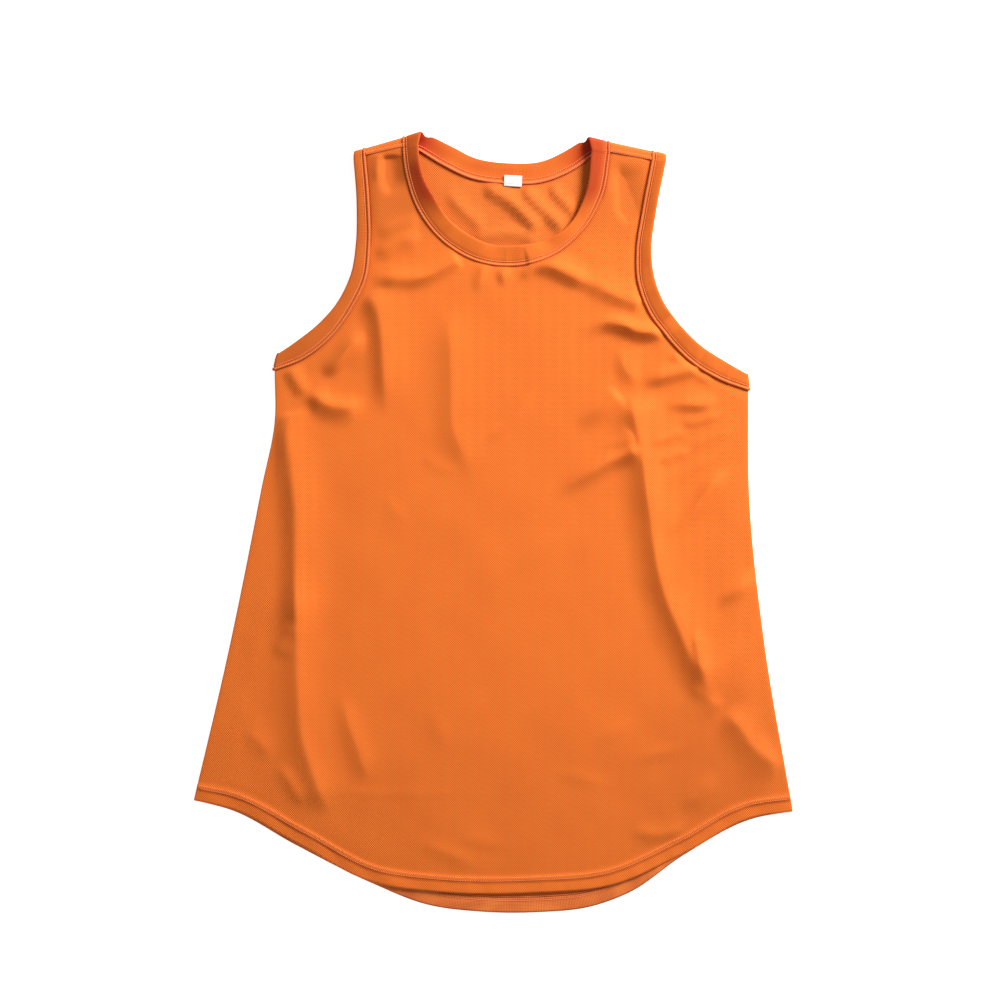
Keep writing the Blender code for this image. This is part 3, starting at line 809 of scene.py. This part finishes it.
def in_scene(name, data):
    """Put an object with this data in the scene."""
    thing = bpy.data.objects.new(name, data)
    bpy.context.scene.collection.objects.link(thing)
    return thing


def link_piece(name, data, material, wall=None):
    """Make an object of a mesh, with a wall where it is an open sheet."""
    data.materials.clear()
    data.materials.append(material)
    data.shade_smooth()
    piece = in_scene(name, data)
    if wall:
        shell = piece.modifiers.new("wall", "SOLIDIFY")
        shell.thickness = wall * MM
        shell.offset = 0
    return piece


def keep_number(data, name, values):
    layer = data.attributes.new(name, "FLOAT", "POINT")
    layer.data.foreach_set("value", np.asarray(values, dtype=float))


def front_place(x, y):
    return np.stack([x, y, front_height(x, y)], axis=-1)


def back_place(x, y):
    """Place the back: on the surface, with its folds, and rolled over at the shoulders."""
    place = rolled(x, y, CLOTH)
    hem = nearest(x, y, HEM_LINES["back"])
    seen = smooth_step((y - 250) / 12) * smooth_step((312 - y) / 10) * smooth_step((86 - np.abs(x - 12)) / 20)
    lift = fold_rise(x, y, BACK_CRESTS) + 0.8 * seen * (swell(x, y) + 0.4)
    place[:, 2] += np.maximum(lift, 0) + round_edge(hem, 1.2, 0.3)
    return place


def painted_shade_share(x, y):
    """Return how dark the painted shade is at each point of the front."""
    straps = smooth_step((y - 238) / 50) * np.where(x < 0, STRAP_SHADES["right"], STRAP_SHADES["left"])
    above_hem = smooth_step((nearest(x, y, HEM_LINES["front"]) - HEM_DEPTH) / 3)
    low = LOW_SHADE * smooth_step((-150 - y) / 90)
    low = low + LOW_LEFT_SHADE * smooth_step((x - 110) / 70) * smooth_step((-110 - y) / 80)
    chest = CHEST_SHADE * smooth_step((-70 - x) / 50) * smooth_step((y - 100) / 50)
    return straps + low * above_hem + chest * smooth_step((235 - y) / 40)


def build_panels():
    front_data = panel("front", front_place)
    x, y = (read_points(front_data)[:, k] / MM for k in (0, 1))
    seams = nearest(x, y, NECK_SEAM, *ARM_SEAMS)
    # Painted shade in the ditch beside each band, and a painted dark line under the hem's ridge.
    painted_shade_under_ridge = np.exp(-((nearest(x, y, HEM_LINES["front"]) - HEM_DEPTH + 3.2) / 0.9) ** 2)
    keep_number(front_data, "ditch", 0.5 * np.exp(-(seams / 2.0) ** 2) + 0.55 * painted_shade_under_ridge)
    keep_number(front_data, "shade", painted_shade_share(x, y))
    front = link_piece("singlet_front", front_data, OUTSIDE, PANEL_WALL)
    back_data = panel("back", back_place)
    x, y, z = (read_points(back_data)[:, k] / MM for k in (0, 1, 2))
    neck = nearest(x, y, cut_line(BACK_NECKLINE, 1, BACK_LAST - 1))
    # Painted shade in the ditch by the back's neck seam, where the back lies low.
    keep_number(back_data, "ditch", np.where(z < 2.5, 0.8 * np.exp(-(neck / 1.8) ** 2), 0.0))
    back = link_piece("singlet_back", back_data, INSIDE, PANEL_WALL)
    return front, back


front, back = build_panels()
print("faces", len(front.data.polygons), len(back.data.polygons))

# %% [markdown]
# ## Bands that cup
# The neck and armhole bands are strips of smooth jersey, folded along the middle and sewn on by
# their raw edges. A spun ring suits them: its big circle becomes the band's length and its small
# circle becomes the folded strip's section. The section table goes up over the sewn ridge, down into the
# needle line, along the outside, round the fold and back along the inside.

# %% Band sections and their places
# A point's place across the band is millimetres from the seam plus a share of the band's width.
BAND_SECTION = [
    (-0.9, 0.0, 0.0), (-0.8, 0.0, 0.65), (-0.1, 0.0, 1.2), (0.8, 0.0, 1.35), (1.6, 0.0, 1.15),
    (2.2, 0.0, 0.55), (2.6, 0.0, 0.3), (3.1, 0.0, 0.7), (3.6, 0.0, 0.95), (2.9, 0.25, 1.0),
    (0.0, 0.6, 1.05), (-2.6, 1.0, 0.95),
    (-1.1, 1.0, 0.85), (-0.35, 1.0, 0.5), (0.0, 1.0, 0.0), (-0.35, 1.0, -0.5), (-1.2, 1.0, -0.75),
    (0.0, 0.6, -0.7), (3.6, 0.0, -0.55), (2.9, 0.0, -0.75), (1.6, 0.0, -1.2), (0.4, 0.0, -1.2),
    (-0.6, 0.0, -0.7),
]
STATION_STEP = 1.6
# How dark the painted shade is on the bands, 0 to 1: everywhere, and towards the wearer's right.
BAND_SHADE = 0.04
RIGHT_BAND_SHADE = 0.22
# The same painted shade on the back of the neck band, and at each shoulder by its seam and then more by its
# free edge.
BACK_NECK_PAINTED_SHADE = 0.22
SHOULDER_PAINTED_SHADES = {"right": (0.46, 0.46), "left": (0.6, 0.28)}
# Dents in the front neck band: x, how far it reaches, depth at the free edge.
NECK_DENTS = [(3.0, 9.0, 1.6), (46.0, 7.0, 1.4), (-30.0, 9.0, 0.8), (72.0, 8.0, 0.9), (24.0, 6.0, -0.5)]


def front_edges(curve, rows, dents=()):
    """Return the seam and free edges of a band in space, on the front layer."""
    seam_x, seam_y, free_x, free_y, stand = curve(rows).T
    for x, reach, depth in dents:
        near = np.exp(-((free_x - x) / reach) ** 2) * (free_y < 300)
        stand = stand - depth * near
    seam = np.stack([seam_x, seam_y, lie(seam_x, seam_y)], axis=-1)
    return seam, np.stack([free_x, free_y, lie(free_x, free_y) + stand], axis=-1)


def back_edges(curve, rows):
    seam_x, seam_y, free_x, free_y, stand = curve(rows).T
    return rolled(seam_x, seam_y, BAND), rolled(free_x, free_y, BAND, stand)


def neck_rings():
    front_rows = even_rows(FRONT_NECKLINE, 0, NECK_LAST, STATION_STEP)
    back_rows = even_rows(BACK_NECKLINE, 0, BACK_LAST, STATION_STEP)[::-1]
    ahead = front_edges(FRONT_NECKLINE, front_rows, NECK_DENTS)
    behind = back_edges(BACK_NECKLINE, back_rows)
    return [np.vstack([one[1:-1], two]) for one, two in zip(ahead, behind)]


def armhole_rings(side):
    rows = even_rows(FRONT_ARMHOLES[side], 0, ARM_LAST[side], STATION_STEP)
    back_rows = even_rows(BACK_ARMHOLES[side], 0, ARM_LAST[side] + 1, STATION_STEP)[::-1]
    ahead = front_edges(FRONT_ARMHOLES[side], rows)
    behind = back_edges(BACK_ARMHOLES[side], back_rows)
    outward = -1 if side == "right" else 1
    turn = np.radians(np.linspace(25, 155, 6))[:, None]
    rings = []
    for one, two in zip(ahead, behind):
        share = (1 - np.cos(turn)) / 2
        bulge = np.array([outward * 1.3, 0.0, 0.0]) * np.sin(turn)
        rings.append(np.vstack([one, two[1:], (1 - share) * two[-1] + share * one[0] + bulge]))
    return rings


def ring_frame(seam, free):
    """Return each station's width, its direction across, and its outward direction."""
    across = free - seam
    width = np.linalg.norm(across, axis=1)
    across = across / width[:, None]
    along = np.roll(seam, -1, axis=0) - np.roll(seam, 1, axis=0)
    out = np.cross(along, across)
    out /= np.maximum(np.linalg.norm(out, axis=1), 1e-9)[:, None]
    out *= np.sign(out[5:20, 2].sum())      # the first stations are in front, where outward is up
    return width, across, out


def on_band(rings, from_seam, share, height):
    """Return the points that lie at one place across a band, all round it."""
    seam, free = rings
    width, across, out = ring_frame(seam, free)
    return seam + (from_seam + share * width)[:, None] * across + height * rings_up(out)


def rings_up(out):
    """Smooth the outward directions along a band, so that its surface doesn't kink."""
    total = sum(np.roll(out, k, axis=0) for k in (-2, -1, 0, 1, 2))
    return total / np.maximum(np.linalg.norm(total, axis=1), 1e-9)[:, None]


def spun_ring(name, stations, around):
    """Spin a small circle into a ring, and return its mesh and its points' two step numbers."""
    ring = bmesh.new()
    bmesh.ops.create_circle(ring, segments=around, radius=0.3)
    bmesh.ops.rotate(ring, verts=ring.verts, matrix=Matrix.Rotation(math.pi / 2, 3, "X"))
    bmesh.ops.translate(ring, verts=ring.verts, vec=(1, 0, 0))
    bmesh.ops.spin(ring, geom=ring.verts[:] + ring.edges[:], cent=(0, 0, 0), axis=(0, 0, 1),
                   angle=2 * math.pi, steps=stations, use_merge=True)
    data = finished(name, ring)
    x, y, z = read_points(data).T
    turn = np.arctan2(y, x) / (2 * math.pi) * stations
    girth = np.arctan2(z, np.hypot(x, y) - 1) / (2 * math.pi) * around
    return data, np.rint(turn).astype(int) % stations, np.rint(girth - girth[0]).astype(int) % around


def neck_shades(rings, lines):
    """Return the painted shade round the neck band: red in its folds by the shoulders, and deep at the back
    and the shoulders.
    """
    x, y = lines[..., 0], lines[..., 1]
    behind = (rings_up(ring_frame(*rings)[2])[:, 2] < 0)[:, None]
    from_seam = np.linalg.norm(lines - rings[0][:, None], axis=-1)
    inner = smooth_step((from_seam - 3.0) / 6.0)
    # red: a painted reddish shadow inside the back band towards each shoulder.
    red = np.where(behind, smooth_step((np.abs(x - 10) - 44) / 40), 0.0)
    right = smooth_step((-30 - x) / 14) * smooth_step((y - 270) / 26)
    right = right * (1 - 0.5 * smooth_step((y - 316) / 16))
    left = smooth_step((x - 52) / 30) * smooth_step((y - 268) / 34)
    ahead = 0.0
    for near, side in ((right, "right"), (left, "left")):
        at_seam, more = SHOULDER_PAINTED_SHADES[side]
        ahead = ahead + near * (at_seam + more * inner)
    return {"red": red, "deep": np.where(behind, BACK_NECK_PAINTED_SHADE, ahead)}


def band_mesh(name, rings):
    """Return a band's mesh: a spun ring laid on the stations, with the folded section round it."""
    data, station, point = spun_ring(name, len(rings[0]), len(BAND_SECTION))
    lines = np.stack([on_band(rings, *place) for place in BAND_SECTION], axis=1)
    lines[..., 2] = np.maximum(lines[..., 2], 0.05)
    # The neck band keeps two numbers of painted shade, red and deep.
    if name == "neck_band":
        for shade, values in neck_shades(rings, lines).items():
            keep_number(data, shade, values[station, point])
    # Painted shade on every band, more towards the wearer's right.
    band_painted_shade = RIGHT_BAND_SHADE * smooth_step((-60 - lines[..., 0]) / 30) + BAND_SHADE
    keep_number(data, "shade", band_painted_shade[station, point])
    lengths = lengths_along(rings[0])
    girth = lengths_along(lines[0])
    place_points(data, lines[station, point], np.stack([lengths[station], girth[point]], axis=-1))
    face_outwards(data)
    return data


# %% [markdown]
# ## The bands' jersey
# Jersey is smoother than the panels' knit. Its tiny ribs run along the band, and a second, finer
# wave across them breaks them into stitches.

# %% Finish: jersey


def jersey_finish(name, lit, deep):
    finish = Finish(name, 0.78, Sheen_Weight=0.12, Sheen_Roughness=0.4, Specular_IOR_Level=0.2)
    finish.set("Sheen Tint", colour(255, 175, 120))
    along, around = finish.cloth_place()
    ribs = along.waves(1.3) * 0.5 + around.waves(1.1) * 0.35
    patches = finish.noise(60.0, 3.0)
    share = (ribs * 0.25 + 0.55 + (patches - 0.5) * 0.5).clipped()
    cloth = finish.mix(share, deep, lit)
    # The numbers deep, red and shade mix painted shade into the jersey.
    for number, shade_paint in (("deep", colour(162, 48, 8)), ("red", colour(176, 30, 10)), ("shade", PAINTED_SHADE)):
        cloth = finish.mixed_with_painted_shade(cloth, number, shade_paint)
    finish.set("Base Color", cloth)
    finish.bump(ribs + finish.noise(700.0) * 0.4, 0.00012, 0.7)
    return finish.material


JERSEY = jersey_finish("band_jersey", colour(234, 122, 42), colour(196, 78, 16))
RINGS = {"neck_band": neck_rings()}
for side in ARMHOLES:
    RINGS["armhole_band_" + side] = armhole_rings(side)
bands = {}
for name, rings in RINGS.items():
    bands[name] = link_piece("singlet_" + name, band_mesh(name, rings), JERSEY)
    print(name, "stations", len(rings[0]), "faces", len(bands[name].data.polygons))

# %% [markdown]
# ## Turned hems
# Each hem is turned to the inside and sewn flat. On the back the turned strip shows, with the rough
# inner side of its knit in fine ribs, so it gets a strip of its own. The front's strip lies beneath
# the front and is only seen from a low angle.

# %% Hem strips
HEM_COLUMNS = 260
HEM_ROWS = 10


def inside_hem(layer, share, depth):
    """Return the points, in plan, that lie at a depth inside a hem."""
    curve = HEMS[layer]
    ahead = curve(np.minimum(share + 0.002, 1)) - curve(np.maximum(share - 0.002, 0))
    inward = np.stack([-ahead[:, 1], ahead[:, 0]], axis=-1) / np.linalg.norm(ahead, axis=1)[:, None]
    return curve(share) + inward * depth


def hem_strip(name, layer, height, material):
    """Lay a strip along the inside of a hem, from its folded edge to its raw edge."""
    data, i, j = grid_mesh(name, HEM_COLUMNS, HEM_ROWS)
    share = 0.004 + 0.992 * i / HEM_COLUMNS
    depth = np.interp(j, [0, 1, 9, HEM_ROWS], [0.5, 1.2, HEM_DEPTH - 0.4, HEM_DEPTH])
    flat = inside_hem(layer, share, depth[:, None])
    edge = round_edge(depth - 0.3, 1.0, 0.35) + round_edge(HEM_DEPTH - depth, 0.8, 0.25)
    points = np.stack([flat[:, 0], flat[:, 1], height(flat[:, 0], flat[:, 1]) + edge], axis=-1)
    length = lengths_along(HEMS[layer](np.linspace(0, 1, 200)))[-1]
    place_points(data, points, np.stack([share * length, depth], axis=-1))
    face_outwards(data)
    return link_piece(name, data, material, 0.5)


def rib_finish():
    finish = Finish("hem_inside", 0.8, Sheen_Weight=0.25, Specular_IOR_Level=0.25)
    along, around = finish.cloth_place()
    ribs = along.waves(1.45)
    knots = around.waves(1.3)
    share = (ribs * 0.22 + knots * 0.15 + 0.55 + (finish.noise(45.0) - 0.5) * 1.1).clipped()
    finish.set("Base Color", finish.mix(share, colour(186, 76, 22), colour(246, 134, 56)))
    finish.bump(ribs + knots * 0.4, 0.00012, 0.6)
    return finish.material


HEM_INSIDE = rib_finish()
back_hem = hem_strip("back_hem_turn", "back", lambda x, y: back_place(x, y)[:, 2] + 0.75, HEM_INSIDE)
front_hem = hem_strip("front_hem_turn", "front", lambda x, y: front_height(x, y) - 0.85, HEM_INSIDE)
print("hem strips", len(back_hem.data.polygons), len(front_hem.data.polygons))

# %% [markdown]
# ## Stitches
# A stitch is a short thread lying on the cloth, a little fatter in the middle. One small ball,
# stretched and copied along a line by numpy, makes a row of them. A row has a pitch, the thread's
# length and width, and a slant, which turns a plain row into a chain or a zigzag.

# %% Rows of stitches


def one_stitch():
    ball = bmesh.new()
    bmesh.ops.create_uvsphere(ball, u_segments=6, v_segments=4, radius=1.0)
    bmesh.ops.triangulate(ball, faces=ball.faces)
    points = np.array([vert.co[:] for vert in ball.verts])
    faces = np.array([[vert.index for vert in face.verts] for face in ball.faces])
    ball.free()
    return points, faces


STITCH_POINTS, STITCH_FACES = one_stitch()


def unit(vectors):
    return vectors / np.maximum(np.linalg.norm(vectors, axis=1), 1e-9)[:, None]


def stitch_row(line, out, pitch, length, width, slant=0.0, zigzag=False):
    """Return the centres and axes of stitches along a line, with the outward direction at its points."""
    lengths = lengths_along(line)
    places = np.arange(pitch / 2, lengths[-1], pitch)
    centre = np.stack([np.interp(places, lengths, line[:, k]) for k in range(3)], axis=-1)
    ahead = np.stack([np.interp(places + 0.5, lengths, line[:, k])
                      - np.interp(places - 0.5, lengths, line[:, k]) for k in range(3)], axis=-1)
    up = unit(np.stack([np.interp(places, lengths, out[:, k]) for k in range(3)], axis=-1))
    run = unit(ahead)
    side = unit(np.cross(up, run))
    angle = np.full(len(places), math.radians(slant))
    if zigzag:
        angle = angle * np.where(np.arange(len(places)) % 2 == 0, 1, -1)
    turn = np.cos(angle)[:, None] * run + np.sin(angle)[:, None] * side
    return centre, turn * (length / 2), unit(np.cross(up, turn)) * (width / 2), up * (width / 2.4)


def stitches(name, rows, material):
    """Join rows of stitches into one piece."""
    centre, long, wide, high = (np.vstack([row[k] for row in rows]) for k in range(4))
    ball = STITCH_POINTS
    points = (centre[:, None, :] + ball[None, :, 0:1] * long[:, None, :]
              + ball[None, :, 1:2] * wide[:, None, :] + ball[None, :, 2:3] * high[:, None, :])
    faces = STITCH_FACES[None] + (np.arange(len(centre)) * len(ball))[:, None, None]
    data = bpy.data.meshes.new(name)
    data.from_pydata((points.reshape(-1, 3) * MM).tolist(), [], faces.reshape(-1, 3).tolist())
    face_outwards(data)
    return link_piece(name, data, material)


def thread_finish(name, lit, deep):
    finish = Finish(name, 0.5, Sheen_Weight=0.2, Specular_IOR_Level=0.4)
    grain = finish.noise(900.0)
    finish.set("Base Color", finish.mix(grain, deep, lit))
    finish.bump(grain, 0.00008, 0.6)
    return finish.material


THREAD = thread_finish("thread", colour(250, 150, 88), colour(230, 112, 54))
UP = np.array([0.0, 0.0, 1.0])
IN_FRONT = 1.9         # a band's seam that lies higher than this is in front
# From the seam, height, pitch, thread length and width, slant, zigzag: over the ridge, and inside it.
BAND_SEWING = [(0.6, 1.42, 1.55, 2.1, 0.85, 58, False), (3.5, 1.05, 2.0, 1.9, 0.8, 8, False)]


def band_rows(rings, kept, inside=False):
    """Return the rows sewn along a band: over its ridge and just inside it."""
    sign = -1 if inside else 1
    out = sign * rings_up(ring_frame(*rings)[2])
    rows = []
    for from_seam, height, pitch, length, width, slant, zigzag in BAND_SEWING:
        height = sign * height
        line = on_band(rings, from_seam, 0.0, height)
        for start, end in kept:
            rows.append(stitch_row(line[start:end], out[start:end], pitch, length, width, slant, zigzag))
    return rows


def front_spans(rings):
    """Return the stations that are seen: the front and the turn over each shoulder."""
    seen = rings[0][:, 2] > IN_FRONT
    edges = np.flatnonzero(np.diff(np.concatenate(([False], seen, [False])).astype(int)))
    return [(a, b) for a, b in zip(edges[::2], edges[1::2]) if b - a > 3]


seam_threads = []
for rings in RINGS.values():
    seam_threads += band_rows(rings, front_spans(rings))
neck_low = np.flatnonzero(RINGS["neck_band"][0][:, 2] < IN_FRONT)
seam_threads += band_rows(RINGS["neck_band"], [(neck_low[0], neck_low[-1])], inside=True)
band_threads = stitches("band_stitches", seam_threads, THREAD)
print("band stitches", len(band_threads.data.polygons) // len(STITCH_FACES))

# %% [markdown]
# ## Stitches on the hems and shoulders
# The front hem shows two plain rows. The back hem shows its inside, where two plain rows hold a
# zigzag over the raw edge. Two slanted rows run along each shoulder seam. All of them lie on level
# cloth, so they are drawn in plan and lifted to the cloth's height.

# %% Hem and shoulder stitches


def hem_line(layer, depth):
    """Return a line that runs at a depth inside a hem, in plan."""
    return inside_hem(layer, np.linspace(0.006, 0.994, 380), depth)


def raised(plan, height):
    return np.stack([plan[:, 0], plan[:, 1], height], axis=-1)


def flat_row(plan, height, pitch, length, width, slant=0.0, zigzag=False):
    line = raised(plan, height)
    return stitch_row(line, np.tile(UP, (len(line), 1)), pitch, length, width, slant, zigzag)


def hem_rows():
    rows = []
    for beyond in (-1.6, 1.2):
        plan = hem_line("front", HEM_DEPTH + beyond)
        rows.append(flat_row(plan, front_height(*plan.T) + 0.55, 2.3, 2.0, 0.7))
    for beyond, slant, zigzag in ((-2.2, 0, False), (-0.4, 55, True), (1.4, 0, False)):
        plan = hem_line("back", HEM_DEPTH + beyond)
        rows.append(flat_row(plan, back_place(*plan.T)[:, 2] + 1.25, 2.0, 2.2, 0.6, slant, zigzag))
    return rows


def shoulder_line(side, offset):
    """Return a line beside the shoulder seam, offset towards the hem, in plan."""
    arm = np.array(ARMHOLES[side][-1][0:2])
    neck = np.array(FRONT_NECK[0 if side == "right" else -1][0:2])
    share = np.linspace(0.02, 0.98, 40)[:, None]
    return arm + (neck - arm) * share - np.array([0.0, offset])


def shoulder_rows():
    rows = []
    for side in ARMHOLES:
        for offset in (-2.6, -0.4):
            plan = shoulder_line(side, offset)
            rows.append(flat_row(plan, np.full(len(plan), SHOULDER_Z + 1.25), 1.9, 1.8, 0.6, 12))
    return rows


hem_threads = stitches("hem_stitches", hem_rows(), THREAD)
shoulder_threads = stitches("shoulder_stitches", shoulder_rows(), THREAD)
print("hem and shoulder stitches", len(hem_threads.data.polygons), len(shoulder_threads.data.polygons))

# %% [markdown]
# ## Sewn ridges
# Where two pieces meet, their raw edges are trimmed and bound into a narrow roll. A curve with a
# round bevel is the simplest way to lay such a roll along a seam. It becomes a mesh at the end, so
# that it can be exported like the rest.

# %% Rolls along the shoulder seams


def roll(name, line, radius, material):
    """Lay a thin roll of cloth along a line in space."""
    curve = bpy.data.curves.new(name, "CURVE")
    curve.dimensions = "3D"
    curve.bevel_depth = radius * MM
    curve.bevel_resolution = 3
    curve.use_fill_caps = True
    spline = curve.splines.new("POLY")
    spline.points.add(len(line) - 1)
    spline.points.foreach_set("co", np.hstack([line * MM, np.ones((len(line), 1))]).ravel())
    holder = in_scene(name, curve)
    graph = bpy.context.evaluated_depsgraph_get()
    data = bpy.data.meshes.new_from_object(holder.evaluated_get(graph))
    bpy.data.objects.remove(holder, do_unlink=True)
    points = read_points(data) / MM
    for layer in list(data.uv_layers):
        data.uv_layers.remove(layer)
    place_points(data, points, points[:, :2])
    return link_piece(name, data, material)


BINDING = jersey_finish("seam_binding", colour(238, 128, 78), colour(200, 78, 34))
cord_line = on_band(RINGS["neck_band"], -0.3, 0.0, -1.0)[neck_low[0]:neck_low[-1]]
rolls = [roll("neck_cord", cord_line, 1.15, BINDING)]
for side in ARMHOLES:
    plan = shoulder_line(side, -1.5)
    line = raised(plan, np.full(len(plan), SHOULDER_Z + 0.2))
    rolls.append(roll("shoulder_roll_" + side, line, 1.3, JERSEY))
print([piece.name for piece in rolls])

# %% [markdown]
# ## The label
# A small woven label is folded in half and caught in the back neck seam. It is a cube made thin and
# rounded with a bevel, turned a little, with plain bars in place of any words.

# %% Label
LABEL_SIZE = (16.2, 10.0, 1.0)
LABEL_TURN = math.radians(-3)
LABEL_LIFT = 0.4


def label_finish():
    finish = Finish("label_tape", 0.55, Sheen_Weight=0.15)
    across, up = finish.cloth_place()
    weave = across.waves(0.5) * up.waves(0.5)
    bars = (up.waves(3.2) * 4.0 - 1.6).clipped()
    bars = bars * (1.0 - (across * across * 0.03)).clipped()
    finish.set("Base Color", finish.mix(bars * 0.35, colour(232, 230, 224), colour(160, 152, 146)))
    finish.bump(weave, 0.00006, 0.6)
    return finish.material


def build_label():
    low, high = (np.array(corner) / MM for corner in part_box("label"))
    middle = (low + high) / 2
    shape = bmesh.new()
    bmesh.ops.create_cube(shape, size=1.0)
    bmesh.ops.scale(shape, vec=LABEL_SIZE, verts=shape.verts)
    bmesh.ops.bevel(shape, geom=shape.edges, offset=0.42, segments=3, affect="EDGES", profile=0.5,
                    material=-1)
    data = finished("label", shape)
    points = read_points(data)
    flat = points[:, :2].copy()
    cosine, sine = math.cos(LABEL_TURN), math.sin(LABEL_TURN)
    turn = np.array([[cosine, sine, 0], [-sine, cosine, 0], [0, 0, 1]])
    place_points(data, points @ turn + middle + np.array([0, 0, LABEL_LIFT]), flat)
    face_outwards(data)
    return link_piece("singlet_label", data, label_finish())


label = build_label()
print("label", len(label.data.polygons))

# %% [markdown]
# ## What each piece stands for
# Each cloth piece stands in for one CAD solid, which is hidden, and rides on the root body.
# Threads, hems and rolls ride with the sheet that they are sewn to.


def declare(piece, node, with_pieces=()):
    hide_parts(node)
    for one in (piece, *with_pieces):
        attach(one, "root")


on_front = [front_hem, hem_threads, shoulder_threads, *rolls]
declare(front, "front_panel", on_front)
declare(back, "back_panel", [back_hem])
declare(bands["neck_band"], "neck_band", [band_threads])
for side in ARMHOLES:
    declare(bands["armhole_band_" + side], "armhole_band_" + side)
declare(label, "label")

# %% [markdown]
# ## Floor, light and camera
# The top is shown from straight above on a white surface. A soft light stands low beyond the wearer's
# left shoulder and makes every fold read, and a weak one on the other side keeps the shadows open.
# The floor glows a little, so that it stays white.

# %% Floor, lights, camera


def floor():
    bpy.ops.mesh.primitive_plane_add(size=6)
    plane = bpy.context.active_object
    plane.name = "floor"
    finish = Finish("floor_white", 0.9, Specular_IOR_Level=0.1)
    finish.set("Base Color", (0.93, 0.93, 0.93, 1.0))
    finish.set("Emission Color", (1.0, 1.0, 1.0, 1.0))
    finish.set("Emission Strength", 0.7)
    plane.data.materials.append(finish.material)


def soft_light(name, place, size, power):
    data = bpy.data.lights.new(name, "AREA")
    data.size = size
    data.energy = power
    lamp = in_scene(name, data)
    lamp.location = place
    away = -np.array(place) / np.linalg.norm(place)
    lamp.rotation_euler = (math.acos(-away[2]), 0, math.atan2(away[1], away[0]) - math.pi / 2)


def world(strength):
    bpy.context.scene.world = bpy.data.worlds.new("studio")
    bpy.context.scene.world.use_nodes = True
    back_light = bpy.context.scene.world.node_tree.nodes["Background"]
    back_light.inputs["Color"].default_value = (1.0, 0.985, 0.97, 1.0)
    back_light.inputs["Strength"].default_value = strength


def camera():
    data = bpy.data.cameras.new("camera")
    data.lens = 85
    data.sensor_width = 36
    seat = in_scene("camera", data)
    seat.location = (0.006, 0.0202, 2.128)
    bpy.context.scene.camera = seat


floor()
soft_light("key", (1.25, 1.32, 1.0), 0.8, 84)
soft_light("fill", (-1.2, -0.6, 1.6), 1.5, 6)
world(0.26)
camera()
bpy.context.scene.view_settings.view_transform = "Standard"
